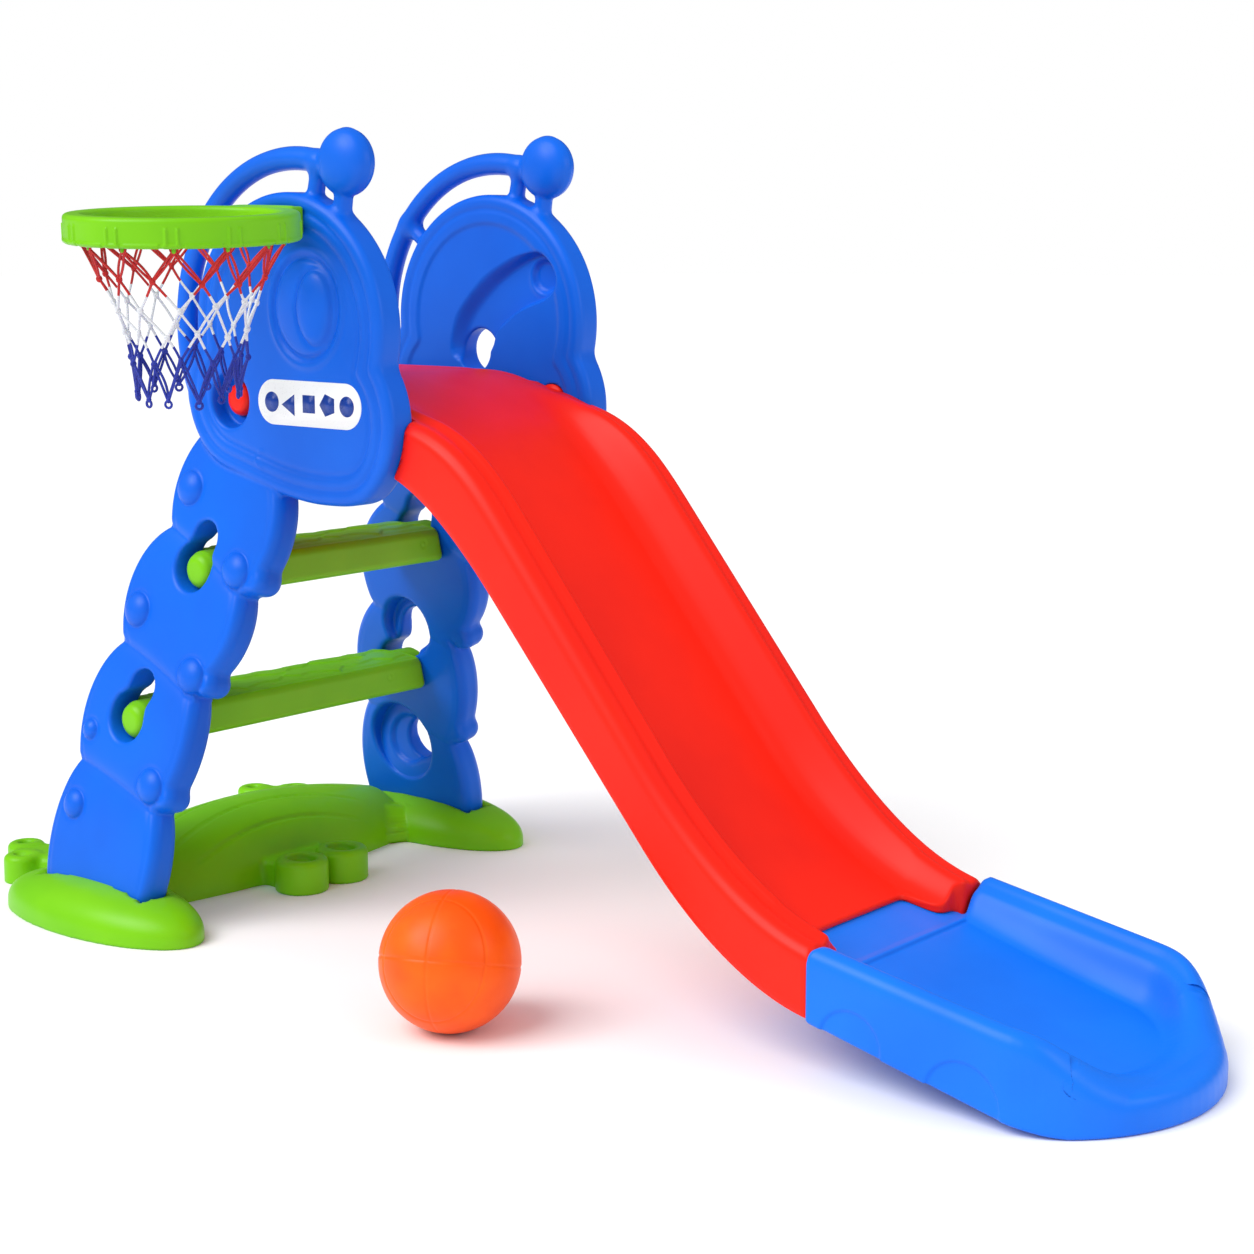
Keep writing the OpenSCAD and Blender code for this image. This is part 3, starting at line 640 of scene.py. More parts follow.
@dataclass
class Studio:
    """Camera, floor and soft lights."""

    eye: Point3 = (2.500, -2.218, 0.939)
    turn: float = 39.72
    rise: float = 9.28
    lens: float = 66.6
    shift: Point2 = (0.008, -0.0197)
    key_from: Point3 = (-0.2, -0.72, 0.85)
    key_strength: float = 1.9
    key_spread: float = 46.0
    room_light: float = 0.72
    room_gloss: float = 0.14

    def build(self) -> None:
        """Sets up the camera, the floor and the lights."""
        self._camera()
        self._floor()
        self._world()
        self._sun()
        self._lamp("side", (3.6, 0.6, 1.9), (0.7, 0, 0.4), 1.4, 14.0)
        self._lamp("strip", (-0.9, -2.6, 2.6), (0.4, 0, 0.5), 1.1, 20.0)
        bpy.context.scene.view_settings.view_transform = "Standard"

    def _sun(self) -> None:
        """Adds the broad key light, even over the whole floor."""
        data = bpy.data.lights.new("key", "SUN")
        data.energy, data.angle = self.key_strength, math.radians(self.key_spread)
        sun = add_object("key", data)
        sun.matrix_world = Vector(self.key_from).to_track_quat("Z", "Y").to_matrix().to_4x4()

    def _camera(self) -> None:
        """Stands the camera where the set is seen from its right front."""
        a, e = math.radians(self.turn), math.radians(self.rise)
        back = Vector((math.sin(a) * math.cos(e), -math.cos(a) * math.cos(e), math.sin(e)))
        data = bpy.data.cameras.new("camera")
        data.lens, data.sensor_width = self.lens, 36.0
        data.shift_x, data.shift_y = self.shift
        camera = add_object("camera", data)
        aim = back.to_track_quat("Z", "Y").to_matrix().to_4x4()
        camera.matrix_world = Matrix.Translation(self.eye) @ aim
        bpy.context.scene.camera = camera

    def _floor(self) -> None:
        """Lays a wide plain pale floor."""
        bm = bmesh.new()
        bmesh.ops.create_circle(bm, cap_ends=True, segments=64, radius=40.0)
        floor = add_object("floor", mesh_from(bm, "floor"))
        material, tree = blank_material("studio_floor")
        shader = add_node(tree, "ShaderNodeBsdfPrincipled", {}, {
            "Base Color": linear("#F8F8F8"), "Roughness": 0.8, "Specular IOR Level": 0.0})
        add_node(tree, "ShaderNodeOutputMaterial", {}, {"Surface": shader.outputs["BSDF"]})
        floor.data.materials.append(material)

    def _world(self) -> None:
        """Lights the room evenly, with dark flags round it so that gloss stays in the lamps."""
        world = bpy.data.worlds.new("studio")
        bpy.context.scene.world = world
        world.use_nodes = True
        tree = world.node_tree
        tree.nodes.clear()
        path = add_node(tree, "ShaderNodeLightPath")
        flagged = add_node(tree, "ShaderNodeMapRange", {}, {
            "Value": path.outputs["Is Glossy Ray"],
            "To Min": self.room_light, "To Max": self.room_gloss})
        strength = add_node(tree, "ShaderNodeMapRange", {}, {
            "Value": path.outputs["Is Camera Ray"],
            "To Min": flagged.outputs["Result"], "To Max": 1.0})
        light = add_node(tree, "ShaderNodeBackground", {}, {
            "Color": linear("#FFFFFF"), "Strength": strength.outputs["Result"]})
        add_node(tree, "ShaderNodeOutputWorld", {}, {"Surface": light.outputs["Background"]})

    def _lamp(self, name: str, place: Point3, target: Point3, size: float, watts: float) -> None:
        """Hangs one square soft box.

        Args:
            name: Name of the lamp.
            place: Where it hangs.
            target: What it points at.
            size: Width of the box in metres.
            watts: Its power.
        """
        data = bpy.data.lights.new(name, "AREA")
        data.size, data.energy = size, watts
        lamp = add_object(name, data)
        aim = (Vector(target) - Vector(place)).to_track_quat("-Z", "Y").to_matrix().to_4x4()
        lamp.matrix_world = Matrix.Translation(place) @ aim


# ---------------------------------------------------------------- side panels

@dataclass
class LegPlane:
    """The plane that each leg lies in, leaning outward below the bend."""

    middle: float = 187.5
    bend_z: float = 583.0
    splay: float = 13.1
    half: float = 21.0

    def middle_y(self, z: Array | float) -> Array | float:
        """Y of the leg's middle plane at a height."""
        return self.middle + math.tan(math.radians(self.splay)) * (self.bend_z - z)

    def inner_y(self, z: Array | float) -> Array | float:
        """Y of the leg's inner face at a height."""
        return self.middle_y(z) - self.half / math.cos(math.radians(self.splay))

    def outer_y(self, z: Array | float) -> Array | float:
        """Y of the leg's outer face at a height."""
        return self.middle_y(z) + self.half / math.cos(math.radians(self.splay))

    def depth_and_run(self, y: Array, z: Array) -> tuple[Array, Array]:
        """Turns Y and Z into depth from the leg's middle and run along it.

        Args:
            y: Y on the leg's own side, positive.
            z: Height.

        Returns:
            Depth, positive outward, and run along the leg from the bend, negative downward.
        """
        c, s = math.cos(math.radians(self.splay)), math.sin(math.radians(self.splay))
        dy, dz = y - self.middle, z - self.bend_z
        return dy * c + dz * s, dz * c - dy * s


# Leg segments from the top: rear edge and its run, front edge and its run, radii of both edges.
SEGMENTS = ((50, -16, 267, -32, 131, 127), (-18, -167, 217, -152, 134, 121),
            (-71, -336, 157, -308, 157, 200), (-102, -506, 123, -498, 219, 219))
# The crease under each segment but the last: rear x and run, front x and run.
CREASES = ((50, -47, 218, -131), (-15, -211, 158, -280), (-67, -381, 117, -437))
# The lobe at each segment's lower front corner: x, run, radius.
KNUCKLES = ((233, -108, 20), (166, -252, 19), (121, -412, 18))
# X of the two screws that come up into each foot.
FOOT_SCREWS_X = (-45, 65)


def leg_outline(x: Array, run: Array) -> list[Array]:
    """Distance to each leg segment's outline, from the top one down."""
    found = []
    for i, (xr, sr, xf, sf, rr, rf) in enumerate(SEGMENTS):
        lens = np.maximum(disc(x, run, (xr + rr, sr), rr), disc(x, run, (xf - rf, sf), rf))
        if i < len(KNUCKLES):
            kx, ks, kr = KNUCKLES[i]
            lens = fuse(lens, disc(x, run, (kx, ks), kr), 10)
        found.append(lens)
    return found


@dataclass
class SidePanel:
    """One blow-moulded panel: round head with handle and knob, on a leg of four segments."""

    side: Side
    leg: LegPlane = field(default_factory=LegPlane)
    head: Point2 = (281, 806)
    head_r: float = 172
    jaw_front: Point2 = (352, 692)
    jaw_front_r: float = 118
    jaw_rear: Point2 = (190, 720)
    jaw_rear_r: float = 104
    handle: Point2 = (283, 806)
    handle_r: float = 214
    bar_r: float = 14.5
    handle_from: float = 61
    handle_to: float = 207
    struts: tuple[float, ...] = (77, 142)
    strut_r: float = 11
    knob: Point2 = (378.0, 1013.3)
    knob_r: float = 42
    knob_half: float = 24
    jaw_floor: float = 583.5
    head_edge: float = 10
    leg_edge: float = 13
    bumps: tuple[Point3, ...] = ((91, 2, 1), (203, -99, 1), (20, -170, 1), (146, -245, 1),
                                 (-41, -342, 0.6), (98, -400, 1), (-52, -447, 0.85))
    keyholes: tuple[tuple[float, ...], ...] = ((116, 489, 134, 527, 23), (29, 281, 51, 322, 24))
    seat_r: float = 34
    eye: Point2 = (322, 834)
    pupil: Point2 = (342, 834)
    comma: tuple[Point2, ...] = ((222, 760), (232, 808), (280, 856), (332, 882), (374, 888),
                                 (396, 868), (388, 850), (334, 830), (292, 800), (274, 768))
    comma_button: Point2 = (378, 867)
    comma_hole: Point2 = (256, 763)
    comma_hole_r: float = 30
    dish: Point2 = (3, 150)
    dish_r: float = 60
    dish_depth: float = 22
    dish_hole: Point2 = (28, 155)
    dish_hole_r: float = 31
    lobe_recess: Point2 = (60, 341)
    lobe_recess_r: float = 45
    lobe_recess_depth: float = 20
    lobe_hole: Point2 = (62, 337)
    lobe_hole_r: float = 31.5
    rear_peg: Point2 = (172, 711)
    rear_peg_recess_r: float = 36
    rear_peg_recess_depth: float = 25
    front_peg: Point2 = (402, 700)
    front_peg_depth: float = 16
    peg_hole_r: float = 22.5

    def __post_init__(self) -> None:
        """Draws the comma's smooth outline."""
        self.comma_line = round_outline(self.comma, 14)

    def _head_edge(self, x: Array, z: Array) -> Array:
        """Distance to the head's outline: a round brow over a wider jaw."""
        jaw = wrapped_discs(x, z, self.jaw_front, self.jaw_front_r, self.jaw_rear, self.jaw_rear_r)
        flat = fuse(disc(x, z, self.head, self.head_r), jaw, 9)
        return -fuse(-flat, -(self.jaw_floor - z + 0.02 * (x - 300)), 16)

    def _head_relief(self, x: Array, z: Array, edge: Array) -> Array:
        """Height of the outer face's beads, eye and pupil above the flat face."""
        inside = -edge
        rim = (1.2 * (1 - step_up(33, 39, inside)) - 2.8 * hump(inside - 19.5, 3.0)
               - 2.4 * hump(inside - 38, 3.6))
        ex, ez = self.eye
        r = np.hypot((x - ex) / 66, (z - ez) / 73)
        rise = 3.0 * hump(r - 1.0, 0.06) - 2.6 * hump(r - 0.87, 0.045)
        rise += 8.0 * np.sqrt(np.clip(1 - (r / 0.83) ** 2, 0, 1))
        px, pz = self.pupil
        q = np.hypot((x - px) / 29, (z - pz) / 46)
        rise += 5.2 * np.sqrt(np.clip(1 - q ** 2, 0, 1)) - 2.2 * hump(q - 1.05, 0.07)
        mark = np.hypot(x - 233, z - 637)
        rise += 1.3 * hump(mark - 10, 2.0) * step_up(-6, 2, 233 - x)
        return rim + rise

    def _head_form(self, p: Array) -> Array:
        """Distance to the head with its handle, struts, stem and knob."""
        x, z = p[:, 0], p[:, 2]
        n = p[:, 1] - self.leg.middle
        edge = self._head_edge(x, z)
        outside = n > 0
        inner_rim = 2.6 * (1 - step_up(37, 42, -edge)) - 1.6 * hump(-edge - 20, 3.0) - 2.4
        lift = np.where(outside, self._head_relief(x, z, edge), -inner_rim)
        lift = lift * step_up(4, 14, np.abs(n))
        body = plate(edge, n - lift, self.leg.half, self.head_edge)
        return fuse(body, self._handle_form(p, n), 9)

    def _handle_form(self, p: Array, n: Array) -> Array:
        """Distance to the handle arch, its struts, the stem and the knob."""
        x, z = p[:, 0], p[:, 2]
        hx, hz = self.handle
        dx, dz = x - hx, z - hz
        angle = np.degrees(np.arctan2(dz, dx)) % 360
        turn = np.where(angle > 320, angle - 360, angle)
        near = np.radians(np.clip(turn, self.handle_from, self.handle_to))
        bar = np.sqrt((dx - self.handle_r * np.cos(near)) ** 2
                      + (dz - self.handle_r * np.sin(near)) ** 2 + n * n) - self.bar_r
        q = np.stack([x, n, z], 1)
        for a in self.struts:
            c, s = math.cos(math.radians(a)), math.sin(math.radians(a))
            strut = rod(q, (hx + 150 * c, 0, hz + 150 * s),
                        (hx + self.handle_r * c, 0, hz + self.handle_r * s), self.strut_r)
            bar = fuse(bar, strut, 12)
        kx, kz = self.knob
        stem = rod(q, (kx, 0, kz), (kx - 12.5, 0, kz - 89), 12)
        bar = fuse(bar, stem, 8)
        flat = ((np.hypot(x - kx, z - kz) / self.knob_r) ** 2.3
                + (np.abs(n) / self.knob_half) ** 2.3) ** (1 / 2.3)
        seam = 0.7 * hump(n, 1.8)
        return fuse(bar - seam * 0.8, (flat - 1) * 30 - seam, 3)

    def _leg_relief(self, x: Array, run: Array, edge: Array) -> Array:
        """Pillow of each segment, which overlaps the next one down like a shingle.

        Args:
            x: X of each point.
            run: Place along the leg.
            edge: Distance to the leg's outline.

        Returns:
            Height above the flat face.
        """
        below = []
        for xr, sr, xf, sf in CREASES:
            share = (x - xr) / (xf - xr)
            line = sr + (sf - sr) * share + 5 * (1 - np.clip(2 * share - 1, -1, 1) ** 2)
            below.append((line - run) * (xf - xr) / math.hypot(xf - xr, sf - sr))
        lift = np.zeros(x.shape)
        for i in range(len(below) + 1):
            low = below[i] if i < len(below) else np.full(x.shape, -1e3)
            high = below[i - 1] if i else np.full(x.shape, 1e3)
            inside = np.minimum(-edge, -low)
            pillow = 4.4 * (1 - np.exp(-np.maximum(inside, 0) / 6)) - 1.1 * hump(-edge - 14, 2.4)
            tuck = 5.4 * np.exp(-np.maximum(high, 0) / 16)
            lift = np.where((low <= 0) & (high > 0), pillow - tuck - 1.2, lift)
        return lift

    def _leg_form(self, p: Array) -> Array:
        """Distance to the leg: four segments, their bumps and the keyholes."""
        x, z = p[:, 0], p[:, 2]
        n, run = self.leg.depth_and_run(p[:, 1], z)
        edge = np.minimum.reduce(leg_outline(x, run))
        lift = self._leg_relief(x, run, edge) * step_up(3, 12, np.abs(n))
        lift = np.where(n > 0, lift, -0.4 * lift)
        body = plate(edge, n - lift, self.leg.half, self.leg_edge)
        for bx, brun, share in self.bumps:
            r, high = 24 * share, 13.5 * (0.4 + 0.6 * share)
            away = np.hypot(x - bx, run - brun)
            body = body + 1.0 * hump(away - r - 2, 2.2) * step_up(10, 16, n)
            dome = (np.sqrt((away / r) ** 2 + ((n - self.leg.half - 0.5) / high) ** 2) - 1) * high
            body = np.minimum(body, dome)
        body = np.maximum(body, self.leg.middle - self.leg.half + 1 - p[:, 1])
        for kx, kz, lx, lz, lr in self.keyholes:
            hole = fuse(disc(x, z, (kx, kz), self.seat_r), disc(x, z, (lx, lz), lr), 16)
            body = carve(body, hole, 6)
        return np.maximum(body, 12.3 - z)

    def _left_cuts(self, body: Array, p: Array) -> Array:
        """The comma recess, the dish and the two extra holes of the left panel."""
        x, y, z = p[:, 0], p[:, 1], p[:, 2]
        face = self.leg.middle - self.leg.half
        comma = outline_distance(x, z, self.comma_line)
        blunt = step_up(-30, 50, 0.75 * (z - 806) - (x - 292))
        depth = 16.5 * step_up(0, 1, -comma / (6 + 20 * blunt))
        button = disc(x, z, self.comma_button, 0)
        depth += 6 * (1 - step_up(19, 24, button)) - 1.6 * hump(button - 26, 3)
        depth = np.where(comma < 0, depth, 0)
        near = np.maximum(comma, y - face - 0.4 - depth)
        body = carve(body, near, 2.2)
        body = carve(body, disc(x, z, self.comma_hole, self.comma_hole_r), 4)
        floor = self.leg.inner_y(self.dish[1]) + self.dish_depth
        bowl = disc(x, z, self.dish, 0)
        step = 7 * step_up(34, 40, bowl)
        body = carve(body, np.maximum(bowl - self.dish_r, y - floor + step), 7)
        body = carve(body, disc(x, z, self.dish_hole, self.dish_hole_r), 6)
        floor = self.leg.inner_y(self.lobe_recess[1]) + self.lobe_recess_depth
        recess = disc(x, z, self.lobe_recess, self.lobe_recess_r)
        body = carve(body, np.maximum(recess, y - floor), 7)
        return carve(body, disc(x, z, self.lobe_hole, self.lobe_hole_r), 5)

    def form(self, p: Array) -> Array:
        """Distance to the whole panel."""
        p = p * np.array([1, self.side.value, 1])
        x, y, z = p[:, 0], p[:, 1], p[:, 2]
        body = np.minimum(self._head_form(p), self._leg_form(p))
        outer = self.leg.middle + self.leg.half
        inner = self.leg.middle - self.leg.half
        recess = disc(x, z, self.rear_peg, self.rear_peg_recess_r)
        body = carve(body, np.maximum(recess, outer - self.rear_peg_recess_depth - y), 6)
        body = carve(body, disc(x, z, self.rear_peg, self.peg_hole_r), 2)
        blind = disc(x, z, self.front_peg, self.peg_hole_r)
        body = carve(body, np.maximum(blind, y - inner - self.front_peg_depth), 2)
        if self.side is Side.LEFT:
            body = self._left_cuts(body, p)
        return body

    def build(self, finishes: Finishes) -> None:
        """Moulds the panel and dresses it."""
        sign = self.side.value
        foot_y = self.leg.middle_y(12) - 3
        plugs = [Plug((fx, sign * foot_y, 37), (0, 0, 1), 5, 48) for fx in FOOT_SCREWS_X]
        if self.side is Side.RIGHT:
            plugs += [Plug((267 + s * 35, sign * self.leg.middle, 942), (0, 1, 0), 6, 40)
                      for s in (-1, 1)]
        node = "left_side_panel" if self.side is Side.LEFT else "right_side_panel"
        mesh = even_skin(node, 2.95, plugs)
        mould(mesh, self.form)
        piece(mesh, node + "_moulding", finishes.blue, [node])


# ---------------------------------------------------------------- step boards

@dataclass
class StepBoard:
    """A green step with stout pegs that rest in the keyholes, and a jagged relief tread."""

    node: str
    centre: Point2
    mark_y: float
    leg: LegPlane = field(default_factory=LegPlane)
    depth: float = 110
    height: float = 54
    shaft_r: float = 26
    end_r: float = 24.5

    def _tread(self, x: Array, y: Array) -> Array:
        """Height of the tread's jagged terraces."""
        knots = np.arange(-300, 301, 22.0)
        rise = np.zeros(x.shape)
        for i, middle in enumerate((-33.0, -12.0, 10.0, 31.0)):
            jog = (7.5 * np.sin(knots * 0.043 + 1.7 * i)
                   + 5.5 * np.sign(np.sin(knots * 0.11 + 2.1 * i)))
            line = middle + np.interp(y, knots, jog)
            rise += (2.0 if i % 2 == 0 else -2.0) * step_up(-1.4, 1.4, x - line)
        return rise

    def form(self, p: Array) -> Array:
        """Distance to the board with both pegs."""
        cx, cz = self.centre
        x, y, z = p[:, 0] - cx, np.abs(p[:, 1]), p[:, 2]
        end = (y - self.leg.inner_y(z) + 0.3) * math.cos(math.radians(self.leg.splay))
        inside = np.minimum(self.depth / 2 - np.abs(x), -end)
        lift = (self._tread(x, p[:, 1]) * step_up(9, 12, inside) - 1.6 * hump(inside - 9, 2.2)
                - 2.0) * step_up(4, 8, inside)
        lift = np.where(z > cz, lift, 0) - np.where(z > cz, 7 * (x / 55) ** 4, 0)
        r = 10.0
        q = [np.abs(x) - self.depth / 2 + r, np.abs(z - lift - cz) - self.height / 2 + r, end + r]
        outside = np.sqrt(sum(np.maximum(a, 0) ** 2 for a in q))
        board = outside + np.minimum(np.maximum.reduce(q), 0) - r
        mark = np.hypot(p[:, 1] - self.mark_y, z - cz - 2)
        board += 0.9 * hump(mark - 4.5, 1.4) * step_up(40, 50, x)
        around = np.hypot(x, z - cz)
        root = float(self.leg.inner_y(cz)) - 30
        shaft = plate(around - self.shaft_r, y - (root + self.leg.middle_y(cz) + 4) / 2,
                      (self.leg.middle_y(cz) + 4 - root) / 2, 3)
        tip = self.leg.outer_y(cz) - 5
        knob = plate(around - self.end_r, y - (root + tip) / 2, (tip - root) / 2, 13)
        return fuse(board, fuse(shaft, knob, 5), 2)

    def build(self, finishes: Finishes) -> None:
        """Moulds the step and dresses it."""
        mesh = even_skin(self.node, 2.2)
        mould(mesh, self.form)
        piece(mesh, self.node + "_board", finishes.green, [self.node])


# ----------------------------------------------------------------------- base

@dataclass
class LadderBase:
    """The green base: two foot pads, a ribbed back between them, and round toes."""

    leg: LegPlane = field(default_factory=LegPlane)
    pad_x: float = 10
    pad_half: Point2 = (187, 79)
    pad_h: float = 62
    back_x: float = -58
    back_r: float = 107
    back_low: float = -4
    front_toe: Point2 = (105, 39)
    front_toe_r: float = 38
    front_toe_h: float = 47
    rear_toes: tuple[Point2, ...] = ((-240, 265), (-290, 222))
    rear_toe_r: float = 27
    rear_toe_h: float = 40
    flipper_root: Point2 = (-120, 165)
    flipper_root_r: float = 58
    flipper_tip: Point2 = (-252, 232)
    flipper_tip_r: float = 38
    flipper_h: float = 38
    slot_gap: float = 1.0

    def _toe(self, x: Array, y: Array, z: Array, place: Point2, radius: float, high: float,
             dished: bool) -> Array:
        """Distance to one round toe.

        Args:
            x: X of each point.
            y: Y of each point, positive.
            z: Height of each point.
            place: Centre of the toe.
            radius: Its radius.
            high: Its height.
            dished: Whether a deep dish is pressed into its top.

        Returns:
            Signed distance, negative inside.
        """
        toe = plate(disc(x, y, place, radius), z - (high - 20) / 2, (high + 20) / 2, 9)
        r = radius * (0.6 if dished else 0.45)
        cup = (np.sqrt(((x - place[0]) / r) ** 2 + ((y - place[1]) / (r * 0.8)) ** 2
                       + ((z - high) / (r * 1.25)) ** 2) - 1) * r * 0.8
        return carve(toe, cup, 4)

    def _back(self, x: Array, y: Array, z: Array) -> Array:
        """Distance to the domed back with its long curved grooves."""
        dx, dz = x - self.back_x, z - self.back_low
        bend = np.degrees(np.arctan2(dx, np.maximum(dz, 1)))
        fall = 33 * (y / 258) ** 2
        back = np.hypot(dx, dz) - self.back_r + fall
        for start, reach in ((40, 165), (14, 185), (-12, 190), (-38, 175)):
            line = start + 26 * (y / 200) ** 2
            groove = np.radians(bend - line) * self.back_r
            fade = 1 - step_up(reach - 25, reach, y)
            back += 3.4 * hump(groove, 2.6) * fade
        return back

    def form(self, p: Array) -> Array:
        """Distance to the whole base."""
        x, y, z = p[:, 0], np.abs(p[:, 1]), p[:, 2]
        back = np.maximum(self._back(x, y, z), (y - 258) * 0.9)
        centre_y = float(self.leg.middle_y(self.pad_h / 2))
        rho = np.hypot((x - self.pad_x) / self.pad_half[0], (y - centre_y) / self.pad_half[1])
        lift = np.maximum(z - 8, 0) / (self.pad_h - 8)
        pad = ((rho ** 2.3 + lift ** 2.3) ** (1 / 2.3) - 1) * 62
        body = fuse(back, pad, 5)
        toe = self._toe(x, y, z, self.front_toe, self.front_toe_r, self.front_toe_h, True)
        toe = fuse(toe, plate(np.maximum(np.abs(x - 50) - 55, y - 58), z - 10, 26, 8), 6)
        body = fuse(body, toe, 7)
        flipper = wrapped_discs(x, y, self.flipper_root, self.flipper_root_r,
                                self.flipper_tip, self.flipper_tip_r)
        body = fuse(body, plate(flipper, z, self.flipper_h, 14), 10)
        for place in self.rear_toes:
            toe = self._toe(x, y, z, place, self.rear_toe_r, self.rear_toe_h, False)
            body = fuse(body, toe, 8)
        n, run = self.leg.depth_and_run(y, z)
        edge = np.minimum.reduce(leg_outline(x, run)) - self.slot_gap
        slot = np.maximum(np.maximum(edge, np.abs(n) - self.leg.half - self.slot_gap), 12 - z)
        body = carve(body, slot, 2)
        for sx in FOOT_SCREWS_X:
            well = np.maximum(disc(x, y, (sx, self.leg.middle_y(12) - 3), 10), z - 6.5)
            body = np.maximum(body, -well)
        return np.maximum(body, -z)

    def build(self, finishes: Finishes) -> None:
        """Moulds the base and dresses it."""
        y = float(self.leg.middle_y(12)) - 3
        plugs = [Plug((sx, s * y, 9.3), (0, 0, 1), 5, 5.2) for sx in FOOT_SCREWS_X for s in (-1, 1)]
        mesh = even_skin("ladder_base", 3.1, plugs)
        mould(mesh, self.form)
        piece(mesh, "ladder_base_moulding", finishes.green, ["ladder_base"])


# ---------------------------------------------------------------------- chute

@dataclass
class Chute:
    """The red slide: flat platform, sliding floor and two rails with twin ridges."""

    half: float = 187
    platform_half: float = 166
    end_x: float = 1087
    lip_x: float = 1030
    tab_x: float = 1077
    jaw: Point2 = (352, 692)
    jaw_cut_r: float = 119.5

    def __post_init__(self) -> None:
        """Draws the three long curves of the side view."""
        self.floor = np.vstack([[(100, 741)], bow([(300, 741), (420, 738), (520, 646), (602, 548)]),
                                bow([(822, 286), (890, 205), (985, 140), (1087, 121)])])
        self.crest = np.vstack([[(100, 741)], bow([(240, 742), (330, 742), (420, 715), (490, 697)]),
                                bow([(490, 697), (560, 676), (600, 628), (640, 580)])[1:],
                                bow([(860, 316), (930, 235), (1010, 170), (1087, 154)])])
        self.belly = np.vstack([[(100, 695), (430, 632)],
                                bow([(430, 632), (457, 624), (510, 605), (600, 506)])[1:],
                                bow([(848, 221), (915, 144), (1000, 80), (1087, 66)])])

    @staticmethod
    def _height(curve: Array, x: Array) -> Array:
        """Height of a side-view curve at x."""
        return np.interp(x, curve[:, 0], curve[:, 1])

    def _normal(self, x: Array) -> tuple[Array, Array]:
        """The floor's upward normal in the side view, upright at both ends."""
        slope = (self._height(self.floor, x + 12) - self._height(self.floor, x - 12)) / 24
        slope = slope * (1 - step_up(985, 1075, x)) * step_up(110, 160, x)
        length = np.sqrt(1 + slope ** 2)
        return -slope / length, 1 / length

    def _reach(self, x: Array, curve: Array) -> Array:
        """How far a curve lies from the floor along the floor's normal."""
        nx, nz = self._normal(x)
        base = self._height(self.floor, x)
        a = (self._height(curve, x) - base) * nz
        for _ in range(12):
            miss = base + a * nz - self._height(curve, x + a * nx)
            a = a - 0.8 * miss * nz
        return a

    def _profile(self, count: int) -> tuple[Array, Array, Array, Array]:
        """Half of the upper section, from the middle of the floor to the rail's outer foot.

        Args:
            count: Number of columns.

        Returns:
            Y, share of the rail's height, extra height, and share of the way down the outer wall.
        """
        rows = [(0, 0, 0, 0), (40, 0, 0, 0), (80, 0, 0, 0), (96, 0.01, 0, 0), (106, 0.06, 0, 0),
                (114, 0.17, 0, 0), (121, 0.33, 0, 0), (127, 0.52, 0, 0), (132, 0.69, 0, 0),
                (136.5, 0.84, 0, 0), (140.5, 0.945, 0, 0), (144, 0.99, 0, 0), (146.5, 1, 0, 0),
                (149, 1, -0.9, 0), (152, 1, -3.4, 0), (155.5, 1, -5.6, 0), (159, 1, -6.4, 0),
                (163, 1, -6.0, 0), (167, 1, -5.2, 0), (171, 1, -5.3, 0), (175, 1, -6.4, 0),
                (178.6, 1, -8.3, 0), (181.8, 1, -11.1, 0), (184.4, 1, -14.6, 0),
                (186.2, 1, -18.6, 0), (187, 1, -23, 0.0), (187, 1, -23, 0.06)]
        rows += [(187, 1, -23, s) for s in np.linspace(0.14, 0.94, 9)]
        rows += [(186.4, 1, -23, 0.975), (184.4, 1, -23, 0.995)]
        table = np.array(rows, float)
        across, share, extra, down = np.diff(table, axis=0).T
        gaps = np.hypot(across, 55 * share + extra - 60 * down) + 0.8
        step = np.r_[0, np.cumsum(gaps)]
        t = np.linspace(0, step[-1], count)
        return tuple(np.interp(t, step, table[:, k]) for k in range(4))

    def _upper(self, u: Array, v: Array, count: int) -> Array:
        """Places the upper skin.

        Args:
            u: Position along the slide, as X on the floor.
            v: Position across, from -1 to 1.
            count: Columns in half of the section.

        Returns:
            Points in millimetres.
        """
        y0, share, extra, down = (np.interp(np.abs(v), np.linspace(0, 1, count), c)
                                  for c in self._profile(count))
        x, edge = self._station(u, y0)
        nx, nz = self._normal(x)
        rail = np.maximum(self._reach(x, self.crest), 0)
        low = self._reach(x, self.belly)
        gain = step_up(2, 26, rail)
        a = share * rail + extra * np.maximum(gain, 0.35)
        a = a * (1 - down) + (low + 1.5) * down
        a = np.where(down > 0.96, low + 1.5 * (1 - (down - 0.96) * 25), a)
        width = self.platform_half + (self.half - self.platform_half) * step_up(368, 384, x)
        side = step_up(0.0, 0.06, down)
        cut = self._end_round(edge, np.where(y0 > 138, 7.0, 4.0))
        y = y0 * width / self.half - cut * side
        a = a - cut * (1 - side)
        return np.stack([x + a * nx, np.sign(v) * y, self._height(self.floor, x) + a * nz], 1)

